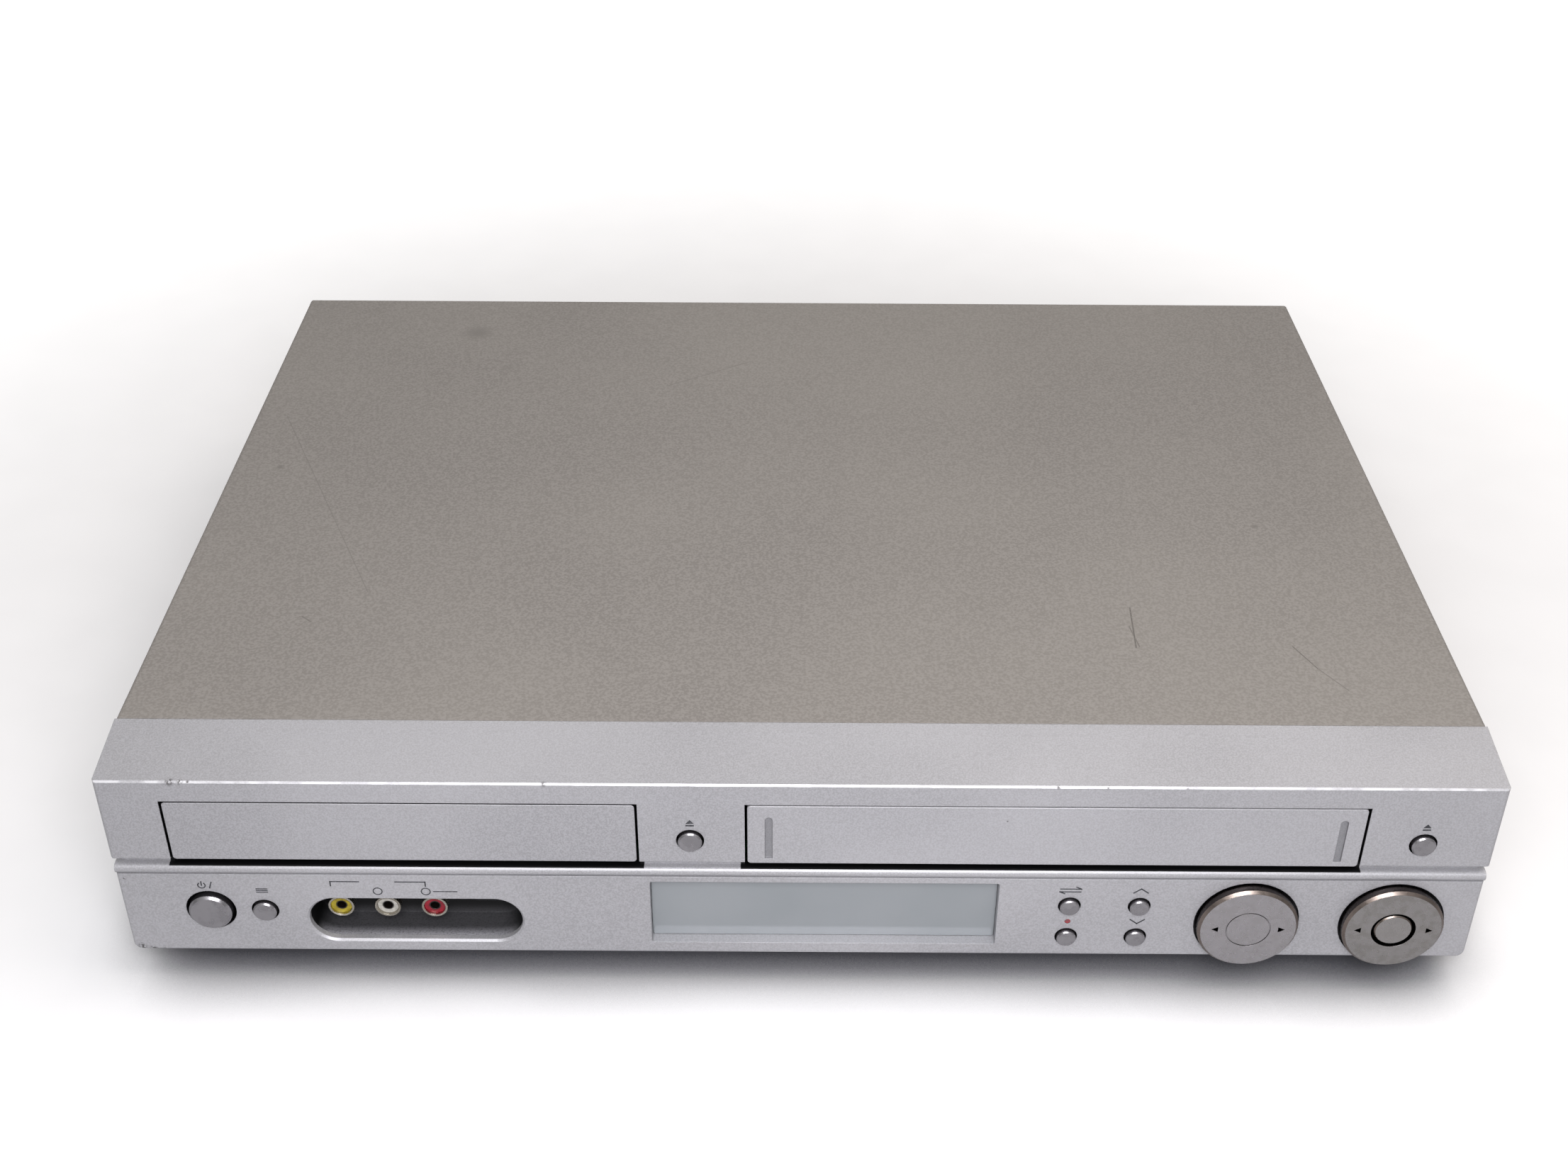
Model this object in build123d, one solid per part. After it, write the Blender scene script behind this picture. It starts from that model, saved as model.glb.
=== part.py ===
from build123d import *
import os
from math import atan, cos, pi, radians, sin, sqrt, tan

# A disc and tape combination recorder, built piece by piece.
# All sizes are in millimetres. While a piece is drawn, Y = 0 is the upper fascia's plane and Y grows
# towards the back, X = 0 is the middle of the case and Z = 0 is the surface that the feet stand on.
# save() then moves every piece by the same amount, so that the origin lies under the middle of the box.

# ---------------------------------------------------------------- driving dimensions
# Case
left_margin = 19.6       # the case's side to the tray front
pillar_width = 34.5      # between the tray front and the cassette door
right_margin = 41.5      # the cassette door to the case's side
rear_bay = 28.3          # behind the tape deck, for the rear connectors
case_top = 85.8
foot_height = 12.0
seam_y = 27.0            # the bezel's depth, where the cover starts
seam_gap = 0.2
sheet = 1.0              # steel sheet of the cover, the chassis and the rear panel
cover_bend = 1.6
cover_flange = 12.0      # height of the cover's rear flange
cover_hem = 1.6          # the cover's lower edge over the chassis floor's underside
chassis_side = 20.0
chassis_tongue_inset = 25.0
chassis_vent_pitch = 10.0
chassis_vent_half = 2.0
chassis_vent_y = (19.0, 69.0)   # from the power board's front edge
chassis_vent_count = 10
chassis_vent_inset = 20.0
foot_radius = 16.0
foot_taper = 2.0
foot_front_y = 48.0
foot_rear_inset = 38.3
foot_inset = 43.0
foot_hollow = 4.0        # the hollow round a foot's screw, and the rubber left over it
foot_edge = 1.2
screw_head_radius = 3.6
screw_head_height = 1.8
screw_head_edge = 0.8
screw_radius = 1.5
screw_hole_radius = 1.6
screw_slot = (2.2, 0.4)  # half length and half width of the cross in a screw's head
screw_slot_depth = 1.0
screw_inset = 19.0

# Bezel
bezel_wall = 2.9         # the fascia's front plane to the back of the front wall
bezel_side_wall = 2.5
bezel_top_wall = 2.0
bezel_floor = 2.2
fascia_top = 82.9        # the slope's low front edge
fascia_bevel = 0.6
fascia_corner = 1.3
groove_low = 48.5
groove_height = 3.2
groove_depth = 3.2
groove_side = 2.0
groove_wall = 2.0
ridge_height = 3.6
panel_set_back = 0.4     # the lower panel's face behind the upper one
panel_side_inset = 0.3
panel_corner = 2.8
panel_edge = 1.0         # rounding of the lower panel's bottom edge
tongue = 6.0             # the bezel's tongue under the cover
tongue_thickness = 1.5

# Disc tray front and cassette door
tray_front_z = (51.6, 74.5)
tray_front_overhang = 7.75      # the tray front past the tray's side
tray_front_thickness = 2.6
door_z = (51.3, 74.5)
door_overhang = 1.2      # the door past the cassette's side
door_thickness = 2.5
door_gap = 0.8           # the gap round the tray front and the cassette door
door_top_gap = 0.55
front_edge = 0.25        # rounding of the tray front's and the door's face
door_corner = 1.1
door_pivot_y = 5.2
door_pivot_z = 79.2
door_pin_radius = 1.2
door_ear_radius = 1.7
door_ear_width = 3.0
door_pin_length = 2.6
bracket_width = 2.0
bracket_gap = 0.3
bracket_half = 4.0
ear_reach = 6.0          # the door ears' feet, below the door's top edge
ear_set_down = 0.2
mark_width = 2.4         # the finger marks moulded in the cassette door
mark_height = 15.5
mark_depth = 0.8
mark_inset = 6.6
mark_low_z = 53.3

# Buttons: the hole's radius, the cap's body and face radius, how far the face stands proud
small_hole_radius = 3.6
small_body_radius = 3.1
small_face_radius = 2.7
small_proud = 1.5
round_hole_radius = 4.35
round_body_radius = 3.75
round_face_radius = 3.3
round_proud = 1.4
power_hole_radius = 7.95
power_body_radius = 6.8
power_face_radius = 6.05
power_proud = 2.0
button_travel = 1.2
flange_overlap = 1.2
flange_thickness = 1.2
flange_gap = 0.3
stem_radius = 1.4
stem_gap = 0.1
upper_button_z = 60.5
lower_button_z = 29.8
open_past_tray = 16.8
eject_past_door = 18.9
power_inset = 27.9
scan_past_power = 17.2
small_from_dial = (56.9, 34.75)
small_z = (33.6, 20.3)

# Dials
dial_radius = 16.0
dial_proud = 3.0         # the dial faces' distance in front of the fascia plane
dial_rim = 0.9
dial_z = 27.0
dial_spacing = 46.1
ring_inset = 26.5
dial_pocket_gap = 0.7
dial_pocket_depth = 1.2
dial_lift = 0.9          # free space behind a dial, for its rocking
dial_pivot_y = 6.2
dial_hub_radius = 8.2
dial_hub_gap = 1.0
dial_pin_radius = 1.0
pin_play = 0.05
ring_bore = 7.05
play_radius = 6.0
gimbal_inner = 8.7
gimbal_outer = 10.7
gimbal_height = 4.0
ear_gap = 0.5
ear_thickness = 2.0
ear_width = 6.0
guide_bar_gap = 1.2
guide_bar_thickness = 2.0
play_stem_radius = 2.5
engraved_circle = 7.1
engraved_width = 0.3
engraved_depth = 0.3

# Jack recess
recess_length = 68.0
recess_past_scan = 47.5
recess_z = 25.65
recess_height = 17.5
recess_lip = 0.7
recess_wall = 1.5
recess_back_y = 13.5     # the front of the recess's back wall
recess_flange = 2.0
jack_front_y = 6.5
jack_offsets = (-25.1, -10.1, 5.0)
jack_neck_radius = 3.85   # the shell's neck through the recess's back wall
jack_shoulder_gap = 0.5   # between the shell's shoulder and that wall
insert_set_back = 0.8
jack_shell_radius = 4.15
jack_shell_wall = 0.7
jack_contact_radius = 1.45
jack_hole_depth = 8.0
dv_socket_offset = 21.4
dv_socket_proud = 0.6
dv_key_half = (1.9, 0.5)
dv_key_set_back = 0.4
dv_socket_size = (8.4, 6.4)
dv_slot_size = (6.0, 2.6)

# Display
window_z = (16.7, 42.8)
window_length = 110.2
window_past_small = 22.6
window_corner = 0.8
window_depth = 3.7       # the lens's face behind the lower panel
window_thickness = 2.4
window_fit = 0.15
well_wall = 1.5
lens_flange = 1.8
display_margin = 7.0
display_gap = 1.0
glass_thickness = 5.0
glass_inset = 3.0
tip_radius = 1.6

# Front board
board_y = 18.0
board_thickness = 1.6
board_z = (16.0, 43.4)
board_inset = (10.0, 8.0)
board_tab_half = 11.0
board_tab_top = 67.0
board_joint = 0.3         # between the board and the two small boards over it
boss_radius = 3.0
boss_inset = 5.0
boss_past_window = (12.7, 11.1)
boss_z = (40.0, 39.0)     # beside the dials and the recess, and beside the small buttons
switch_size = 6.0
switch_height = 3.5
switch_top = 0.6
switch_pin_radius = 1.7
dial_switch_inset = 3.5
dial_switch_drop = 6.0

# Disc loader
loader_wall = 4.6
disc_radius = 60.0
disc_play = 0.5
tray_rim = 4.0            # the tray beside its disc recess
tray_side_play = 0.9
tray_front_rim = 6.9      # the tray in front of its disc recess
loader_front_y = 8.0
loader_past_tray = 13.0
loader_base_z = 44.0
loader_base = 2.0
loader_top_z = 66.0
tray_z = (56.0, 62.0)
tray_play = 0.3
tray_travel = 132.0
rail_width = 4.5
rail_thickness = 2.0
lug_length = 14.0
lug_from_front = (2.0, 74.0)
lug_from_back = 60.0
lug_set_down = 1.2
disc_recess_depth = 2.5
small_disc_radius = 40.5
small_disc_depth = 1.0
hub_slot_half = 18.0
pickup_slot_half = 31.0
pickup_slot_past_disc = 7.0
gear_module = 2.0
gear_teeth = 14
gear_from_middle = 31.0
gear_from_front = 16.0
gear_post_proud = 0.4
gear_z = (51.9, 55.3)
gear_addendum = 0.75         # in modules
gear_dedendum = 1.0          # in modules
gear_backlash = 0.3
gear_post_radius = 2.5
gear_boss_radius = 5.0
rack_back = 4.0
rack_before_gear = 11.0
rack_after_gear = 7.0
rack_end_gap = 2.0
rack_tooth_margin = 1.0
traverse_half_width = 36.0
traverse_z = (47.5, 49.0)
traverse_before_disc = 20.0
pivot_past_disc = 88.0
pivot_z = 50.0
pivot_beam_half = 2.5
traverse_window = (8.0, 8.0, 12.0)   # the base's opening: inside the plate's sides, front and back
traverse_pin_radius = 1.5
traverse_ear = 2.5
traverse_ear_half = 4.0
traverse_ear_top = 3.0
traverse_ear_gap = 1.5
motor_radius = 13.0
motor_top_z = 54.3
turntable_radius = 15.0
turntable_z = (54.8, 56.0)
turntable_hub_radius = 7.4
turntable_hub_top = 58.6
turntable_shaft_radius = 1.5
rod_radius = 1.5
rod_x_offset = 22.0
rod_past_disc = 10.0
rod_before_pivot = 6.0
saddle_top = 2.0
rod_over_plate = 3.0     # the rods' axis over the traverse plate's top
rod_z_height = traverse_z[1] + rod_over_plate
saddle_length = 4.0
saddle_half = 2.2
pickup_half_width = 27.0
pickup_past_rod_end = 5.0
pickup_length = 26.0
pickup_corner = 3.0
sled_from_rods = (-2.1, 1.9)
pickup_z = (rod_z_height + sled_from_rods[0], rod_z_height + sled_from_rods[1])
lens_from_front = 7.0
lens_radius = 4.0
lens_height = 0.7
lens_opening_radius = 2.2
lens_opening_depth = 0.5
bridge_thickness = 1.0
bridge_half = 18.0
puck_z = (63.6, 64.6)
puck_radius = 14.0
puck_neck_radius = 9.0
puck_hole_radius = 10.0
puck_top_radius = 13.0
puck_top_thickness = 1.4
puck_gap = 0.3

# Tape deck
holder_sheet = 1.0
cassette_width = 187.5
cassette_play = 0.85
holder_front_y = 35.0
holder_length = 103.0
holder_front_lip = 3.0    # the holder's side below its open middle
holder_window = (30.0, 20.0)   # half width of the opening in its floor, and what is left in front of it
holder_pin_gap = 0.2
holder_floor_z = 48.5
holder_roof_z = 75.6
holder_lip = 12.0
holder_travel = 66.0
holder_pin_radius = 2.0
holder_pin_z = 62.0
holder_pin_inset = 16.0
carriage_gap = 1.6       # between the holder's side and the carriage's side plate
carriage_sheet = 1.4
carriage_set_back = 1.0
carriage_past_holder = 14.0
carriage_window = (20.0, 4.0, 52.0)   # from the ends, over the deck, and its top
beam_from_ends = (34.0, 30.0)
carriage_top_z = 79.0
carriage_beam = 16.0
slot_play = 0.1
deck_z = (22.0, 23.5)
deck_side = 6.0          # deck plate past the carriage's side plates
deck_past_drum = 4.0
deck_holes_y = (24.0, 64.0, 154.0)   # from the deck's front edge
deck_hole = (12.0, 22.0)   # half width and length
drum_radius = 31.0
drum_ledge = (1.4, 6.0)   # how far it stands out, and its height
drum_shaft_in = 4.0
drum_base_corner = 8.0
drum_tilt = 6.0
lower_drum_height = 16.0
head_drum_height = 16.0
drum_gap = 0.4
drum_base_half = 36.0
drum_base_height = 4.5
drum_shaft_radius = 3.0
drum_sink = 1.0
motor_cap_radius = 22.0
motor_cap_height = 4.0
capstan_radius = 1.5
capstan_from_middle = 55.0
capstan_before_drum = 24.0
capstan_collar_radius = 4.0
capstan_top_z = 58.0
capstan_boss_radius = 5.0
flywheel_radius = 26.0
flywheel_z = (15.0, 20.0)
reel_spacing = 92.5
reel_before_middle = 0.5  # the reels in front of the loaded cassette's middle line
reel_boss_radius = 5.0
reel_radius = 17.0
reel_z = (25.0, 29.0)
reel_hub_radius = 4.6
reel_hub_top = 42.0
reel_post_set_down = 3.0
reel_fin_set_down = 5.0
reel_fin_half = 0.9
reel_post_radius = 2.0
reel_fin = 2.2
pinch_arm_length = 22.0
pinch_from_middle = 71.0
pinch_bar_width = 5.0
pinch_rest_angle = -8.0
pinch_arm_z = (26.0, 28.5)
pinch_boss_radius = 4.0
pinch_roller_radius = 7.0
pinch_roller_height = 14.0
pinch_axle_radius = 1.5

# Boards and rear connectors
rear_gap = 0.3
power_board_inset = 7.0
power_board_length = 133.0
power_board_past_loader = 28.0
power_board_before_fan = 8.3
main_board_past_front = 24.0
main_board_length = 160.0
fan_inset = 75.0
fan_z = 48.0
inlet_inset = 29.0
inlet_z = 30.0
jack_block_past_fan = 44.0
jack_block_width = 72.0
scart_past_jacks = 58.0
tuner_inset = 37.0
tuner_width = 60.0
vent_inset = 19.0
vent_drop = 6.0           # the vents' middle below the tuner's
main_board_half = 56.0
inner_board_z = 22.0
inner_board = 1.6
chip_height = 1.6
chips = ((-28, 48, 28), (22, 38, 20), (18, 93, 16), (-20, 103, 22), (-30, 138, 14))
connector_x = (-40.0, -12.0, 16.0)
connector_half = 11.0
connector_y = (2.0, 7.0)
connector_height = 5.0
ribbon_width = (18.0, 20.0, 14.0)
ribbon_rise = (5.4, 3.4, 1.4)
ribbon_thickness = 0.5
pillar_radius = 3.0
pillar_inset = 6.0
loader_post_radius = 3.5
loader_post_inset = 5.0
loader_post_front = 26.0
fan_size = 40.0
fan_depth = 10.0
fan_bore = 18.8
fan_hub_radius = 8.0
fan_blade_tip = 18.0
fan_blades = 7
fan_pin_radius = 1.5
fan_spoke = 3.0
inlet_size = (24.0, 13.0)
inlet_mouth = (16.0, 8.0)
inlet_depth = 18.0
inlet_proud = 1.5
jack_block_z = (26.0, 62.0)
jack_block_depth = 14.0
rear_jack_pitch = 16.0
rear_jack_proud = 8.0
scart_z = (34.0, 56.0)
scart_size = (49.0, 17.0)
scart_mouth = (45.0, 12.0)
scart_depth = 20.0
scart_proud = 3.0
drum_screw_at = 26.5      # the head drum's three screw holes, from its axis
drum_screw_radius = 1.6
drum_screw_depth = 6.0
scart_rim = 1.0          # the socket's body inside its outline
scart_flange = 2.0
grille_inset = 1.0       # the fan grille's slots, inside the fan's bore
grille_pitch = 5.0
grille_ring = 1.6
grille_rib_half = 1.0
grille_hub = 4.0
fan_corner = 3.0
fan_spoke_depth = 1.5
fan_pin_set_in = 1.6
fan_screw_half = 16.0
fan_screw_radius = 1.6
fan_blade_pitch = 32.0
fan_blade_size = (8.4, 1.0)
rotor_gap = 0.8
transformer_at = (72, 30)    # from the power board's corner
transformer_half = (14, 12)
transformer_height = 26.0
core_limb = 5.0
core_middle_half = 4.0
bobbin_half = 9.0
bobbin_bulge = 3.0
# Each can's place from the board's corner, its radius and its height
capacitor_cans = ((26, 30, 11, 32), (104, 22, 5, 22), (118, 22, 5, 22), (104, 38, 5, 18), (118, 38, 4, 14))
capacitor_edge = 0.8
sink_at = (20, 62)
sink_length = 60.0
sink_plate = 3.0
sink_depth = 14.0
sink_height = 30.0
sink_fins = 7
sink_first_fin = 2.0
sink_fin_pitch = 9.0
sink_fin = 1.5
tuner_z = (28.0, 66.0)
tuner_depth = 24.0
coax_radius = 4.8
coax_proud = 9.0
coax_spacing = 20.0
vent_pitch = 6.0
vent_width = 2.4
vent_height = 26.0
vent_count = 6

# ---------------------------------------------------------------- derived places
# Across the case: the tray and the cassette set the widths of their fronts, and these set the case's
disc_recess_radius = disc_radius + disc_play
tray_half_width = disc_recess_radius + tray_rim
loader_half_width = tray_half_width + tray_side_play + loader_wall
tray_front_width = 2 * (tray_half_width + tray_front_overhang)
door_width = cassette_width + 2 * door_overhang
case_width = left_margin + tray_front_width + pillar_width + door_width + right_margin
half_width = case_width / 2
tray_front_x = (-half_width + left_margin, -half_width + left_margin + tray_front_width)
door_x = (half_width - right_margin - door_width, half_width - right_margin)
loader_x = sum(tray_front_x) / 2
deck_x = sum(door_x) / 2

# Disc loader, from the front to the back
disc_centre_y = tray_front_thickness + tray_front_rim + disc_recess_radius
gear_x = loader_x + gear_from_middle
gear_y = loader_front_y + gear_from_front
pitch_radius = gear_module * gear_teeth / 2
rack_y = (gear_y - rack_before_gear, gear_y + tray_travel + rack_after_gear)
tray_back_y = rack_y[1] + rack_end_gap
loader_y = (loader_front_y, tray_back_y + loader_past_tray)
pivot_y = disc_centre_y + pivot_past_disc
traverse_y = (disc_centre_y - traverse_before_disc, pivot_y)
rod_span = (disc_centre_y + rod_past_disc, pivot_y - rod_before_pivot)
pickup_y = (rod_span[0] + pickup_past_rod_end, rod_span[0] + pickup_past_rod_end + pickup_length)

# Tape deck, from the front to the back
holder_half = cassette_width / 2 + cassette_play
carriage_inner = holder_half + holder_sheet + carriage_gap
holder_y = (holder_front_y, holder_front_y + holder_length)
carriage_y = (holder_y[0] + carriage_set_back, holder_y[1] + holder_travel + carriage_past_holder)
reel_y = sum(holder_y) / 2 + holder_travel - reel_before_middle
drum_centre_y = carriage_y[1] + drum_base_half
deck_y = (carriage_y[0], drum_centre_y + drum_base_half + deck_past_drum)
deck_half = carriage_inner + carriage_sheet + deck_side

# Case
cover_back = deck_y[1] + rear_bay + 2 * sheet
groove_top = groove_low + groove_height
ridge_low = groove_low - ridge_height
chassis_floor = foot_height + sheet
cover_inside = half_width - sheet
cover_under = case_top - sheet
flange_y = (cover_back - sheet, cover_back)
panel_y = (cover_back - 2 * sheet, cover_back - sheet)
rear_reach = panel_y[1] + coax_proud
middle_y = (rear_reach - dial_proud) / 2
foot_x = half_width - foot_inset
foot_rear_y = cover_back - foot_rear_inset
screw_x = (-half_width + screw_inset, 0.0, half_width - screw_inset)

# Fascia
open_at = (tray_front_x[1] + open_past_tray, upper_button_z)
eject_at = (door_x[1] + eject_past_door, upper_button_z)
power_at = (-half_width + power_inset, lower_button_z)
scan_at = (power_at[0] + scan_past_power, lower_button_z)
ring_dial_x = half_width - ring_inset
copy_dial_x = ring_dial_x - dial_spacing
small_x = [copy_dial_x - offset for offset in small_from_dial]
recess_centre = (scan_at[0] + recess_past_scan, recess_z)
jack_x = [recess_centre[0] + offset for offset in jack_offsets]
dv_socket_x = recess_centre[0] + dv_socket_offset
window_x = (small_x[0] - window_past_small - window_length, small_x[0] - window_past_small)
lens_y = panel_set_back + window_depth
well_back = lens_y + window_thickness
board_x = (-half_width + board_inset[0], half_width - board_inset[1])
boss_at = (
    (board_x[0] + boss_inset, boss_z[0]),
    (window_x[0] - boss_past_window[0], boss_z[0]),
    (window_x[1] + boss_past_window[1], boss_z[1]),
    ((copy_dial_x + ring_dial_x) / 2, boss_z[0]),
)

# Boards and rear connectors
fan_centre = (-half_width + fan_inset, fan_z)
inlet_centre = (-half_width + inlet_inset, inlet_z)
jack_block_x = (fan_centre[0] + jack_block_past_fan, fan_centre[0] + jack_block_past_fan + jack_block_width)
scart_x = jack_block_x[1] + scart_past_jacks
tuner_x = (half_width - tuner_inset - tuner_width, half_width - tuner_inset)
power_board_x = (-half_width + power_board_inset, -half_width + power_board_inset + power_board_length)
power_board_y = (loader_y[1] + power_board_past_loader, panel_y[0] - fan_depth - power_board_before_fan)
main_board_front = loader_y[0] + main_board_past_front
main_board_y = (main_board_front, main_board_front + main_board_length)
inner_board_top = inner_board_z + inner_board


# ---------------------------------------------------------------- small helpers
def slab(x, y, z):
    """A block that fills three (low, high) spans."""
    size = [high - low for low, high in (x, y, z)]
    middle = [(high + low) / 2 for low, high in (x, y, z)]
    return Pos(*middle) * Box(*size)


def about(middle, half):
    """The span that reaches half to both sides of middle."""
    return (middle - half, middle + half)


def rod_x(y, z, radius, span):
    """A round bar along X."""
    return Pos(sum(span) / 2, y, z) * Rot(0, 90, 0) * Cylinder(radius, span[1] - span[0])


def rod_y(x, z, radius, span):
    """A round bar along Y."""
    return Pos(x, sum(span) / 2, z) * Rot(90, 0, 0) * Cylinder(radius, span[1] - span[0])


def rod_z(x, y, radius, span):
    """A round bar along Z."""
    return Pos(x, y, sum(span) / 2) * Cylinder(radius, span[1] - span[0])


def from_front(outline, x, z, span, taper=0.0):
    """An outline as seen from the front, made solid from the back of the span to its front."""
    plane = Plane((x, span[1], z), x_dir=(1, 0, 0), z_dir=(0, -1, 0))
    return extrude(plane * outline, amount=span[1] - span[0], taper=taper)


def side_profile(points, x):
    """A closed outline of (y, z) points, made solid over a span of X."""
    outline = Plane.YZ * make_face(Polyline(*points, close=True))
    return Pos(x[0], 0, 0) * extrude(outline, amount=x[1] - x[0])


def middle_of(span):
    """The middle of a span."""
    return sum(span) / 2


def length_of(span):
    """The length of a span."""
    return span[1] - span[0]


def save(name, *solids):
    """Write one node's solids to its own file, in the part's frame."""
    pieces = [piece for shape in solids for piece in shape.solids()]
    placed = [Pos(0, -middle_y, 0) * piece for piece in pieces]
    export_step(placed[0] if len(placed) == 1 else Compound(children=placed), f"parts/{name}.step")


# ---------------------------------------------------------------- bezel
def bezel_shell():
    """The bezel's outer form, hollow behind: upper fascia, groove, half-round ridge and lower panel."""
    upper = slab((-half_width, half_width), (0, seam_y), (groove_top, case_top))
    upper = fillet(upper.edges().filter_by(Axis.Z).sort_by(Axis.Y)[:2], fascia_corner)
    slope = (
        (0, groove_low),
        (0, fascia_top - fascia_bevel),
        (fascia_bevel, fascia_top),
        (seam_y, case_top),
        (seam_y, groove_low),
    )
    upper &= side_profile(slope, (-half_width, half_width))
    core = slab(about(0, half_width - groove_side), (groove_depth, seam_y), (ridge_low, groove_top))
    ridge_radius = ridge_height / 2
    ridge_half = half_width - panel_side_inset
    ridge_z = groove_low - ridge_radius
    ridge = rod_x(ridge_radius, ridge_z, ridge_radius, about(0, ridge_half))
    ridge += slab(about(0, ridge_half), (ridge_radius, seam_y), (ridge_low, groove_low))
    lower = slab(about(0, ridge_half), (panel_set_back, seam_y), (foot_height, ridge_low))
    lower = fillet(lower.edges().filter_by(Axis.Y).sort_by(Axis.Z)[:2], panel_corner)
    lower = fillet(lower.edges().filter_by(Axis.X).group_by(Axis.Z)[0].sort_by(Axis.Y)[0], panel_edge)
    floor = foot_height + bezel_floor
    inner_half = half_width - bezel_side_wall - panel_side_inset
    roof_slope = (case_top - fascia_top) / seam_y
    front_roof = fascia_top + roof_slope * bezel_wall - bezel_top_wall
    back_roof = case_top + roof_slope - bezel_top_wall
    hollow = (
        (bezel_wall, floor),
        (bezel_wall, front_roof),
        (seam_y + 1, back_roof),
        (seam_y + 1, floor),
    )
    shell = upper + core + ridge + lower - side_profile(hollow, about(0, inner_half))
    band_z = (ridge_low, groove_top + groove_wall)
    band = slab(about(0, inner_half), (bezel_wall, groove_depth + groove_wall), band_z)
    tongue_z = (cover_under - tongue_thickness, cover_under)
    top_tongue = slab(about(0, inner_half - 1), (seam_y - tongue, seam_y + tongue), tongue_z)
    root = slab(about(0, inner_half - 1), (seam_y - tongue, seam_y), (tongue_z[0], cover_under + 0.5))
    return shell + band + top_tongue + (root & shell_under_slope(inner_half))


def shell_under_slope(inner_half):
    """The space under the bezel's sloping top, which keeps what is added there inside it."""
    slope = ((0, foot_height), (0, fascia_top), (seam_y, case_top), (seam_y, foot_height))
    return side_profile(slope, about(0, inner_half))


def dial_seat(x):
    """What the bezel gives a dial: two ears for its pins, above and below its hub."""
    ears = None
    ear_y = (bezel_wall, dial_pivot_y + gimbal_height / 2 + guide_bar_gap + guide_bar_thickness)
    inner = gimbal_outer + ear_gap
    for side in (-1, 1):
        ear_z = sorted((dial_z + side * inner, dial_z + side * (inner + ear_thickness)))
        ear = slab(about(x, ear_width / 2), ear_y, ear_z)
        ears = ear if ears is None else ears + ear
    return ears


def dial_pin_hole(x):
    """The line of the two pin holes in a dial's ears, open only between them and into the ears."""
    reach = gimbal_outer + ear_gap + ear_thickness
    return rod_z(x, dial_pivot_y, dial_pin_radius + pin_play, about(dial_z, reach))


def play_guide():
    """The bar behind the ring that guides the play button's stem."""
    low = dial_pivot_y + gimbal_height / 2 + guide_bar_gap
    reach = gimbal_outer + ear_gap + ear_thickness
    bar = slab(about(ring_dial_x, ear_width / 2), (low, low + guide_bar_thickness), about(dial_z, reach))
    return bar - rod_y(ring_dial_x, dial_z, play_stem_radius + 2 * pin_play, (low - 1, low + 4))


def front_bezel():
    bezel = bezel_shell()
    wall = (-1, bezel_wall + 0.01)
    deep = (-1, groove_depth + groove_wall + 1)
    for span_x, span_z in ((tray_front_x, tray_front_z), (door_x, door_z)):
        x = (span_x[0] - door_gap, span_x[1] + door_gap)
        z = (groove_low, span_z[1] + door_top_gap)
        bezel -= slab(x, deep, z)
    holes = [(open_at, round_hole_radius), (eject_at, round_hole_radius)]
    holes += [(power_at, power_hole_radius), (scan_at, round_hole_radius)]
    holes += [((x, z), small_hole_radius) for x in small_x for z in small_z]
    for (x, z), radius in holes:
        bezel -= rod_y(x, z, radius, wall)
    # Display well
    well_x = (window_x[0] - well_wall, window_x[1] + well_wall)
    well_z = (window_z[0] - well_wall, min(window_z[1] + well_wall, ridge_low))
    bezel += slab(well_x, (bezel_wall, well_back), well_z)
    opening = RectangleRounded(length_of(window_x), length_of(window_z), window_corner)
    bezel -= from_front(opening, middle_of(window_x), middle_of(window_z), (-1, well_back + 1))
    # Jack recess opening with its chamfered lip
    lip = SlotOverall(recess_length, recess_height)
    bezel -= from_front(lip, *recess_centre, wall)
    lip_y = (panel_set_back, panel_set_back + recess_lip)
    bezel -= from_front(lip, *recess_centre, lip_y, taper=-45)
    # Dial pockets, ears and guides
    pocket_y = (-1, panel_set_back + dial_pocket_depth)
    for x in (copy_dial_x, ring_dial_x):
        pocket = rod_y(x, dial_z, dial_radius + dial_pocket_gap, pocket_y)
        bezel -= pocket & slab(about(x, 2 * dial_radius), pocket_y, (0, ridge_low))
        bezel -= rod_y(x, dial_z, dial_hub_radius + dial_hub_gap, wall)
        bezel += dial_seat(x)
        bezel -= dial_pin_hole(x)
    bezel += play_guide()
    # Brackets for the cassette door's pins
    for side, edge in ((-1, door_x[0]), (1, door_x[1])):
        inner = edge + side * (door_gap + bracket_gap)
        x = sorted((inner, inner + side * bracket_width))
        bracket_z = (door_pivot_z - bracket_half, fascia_top - bezel_top_wall + bracket_gap)
        bracket = slab(x, (bezel_wall, door_pivot_y + bracket_half), bracket_z)
        pin_hole = rod_x(door_pivot_y, door_pivot_z, door_pin_radius + pin_play, (x[0] - 1, x[1] + 1))
        bezel += bracket - pin_hole
    # Bosses that carry the front board
    for x, z in boss_at:
        bezel += rod_y(x, z, boss_radius, (bezel_wall, board_y))
    return bezel


# ---------------------------------------------------------------- sheet metal of the case
def top_cover():
    low = foot_height + cover_hem
    y = (seam_y + seam_gap, cover_back)
    outer = slab((-half_width, half_width), y, (low, case_top))
    outer = fillet(outer.edges().filter_by(Axis.Y).sort_by(Axis.Z)[-2:], cover_bend)
    inner = slab(about(0, cover_inside), (0, flange_y[0]), (0, cover_under))
    inner += slab(about(0, cover_inside), (0, cover_back + 1), (0, case_top - cover_flange))
    cover = outer - inner
    for x in screw_x:
        cover -= rod_y(x, case_top - cover_flange / 2, screw_hole_radius, (flange_y[0] - 1, cover_back + 1))
    return cover


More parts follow.
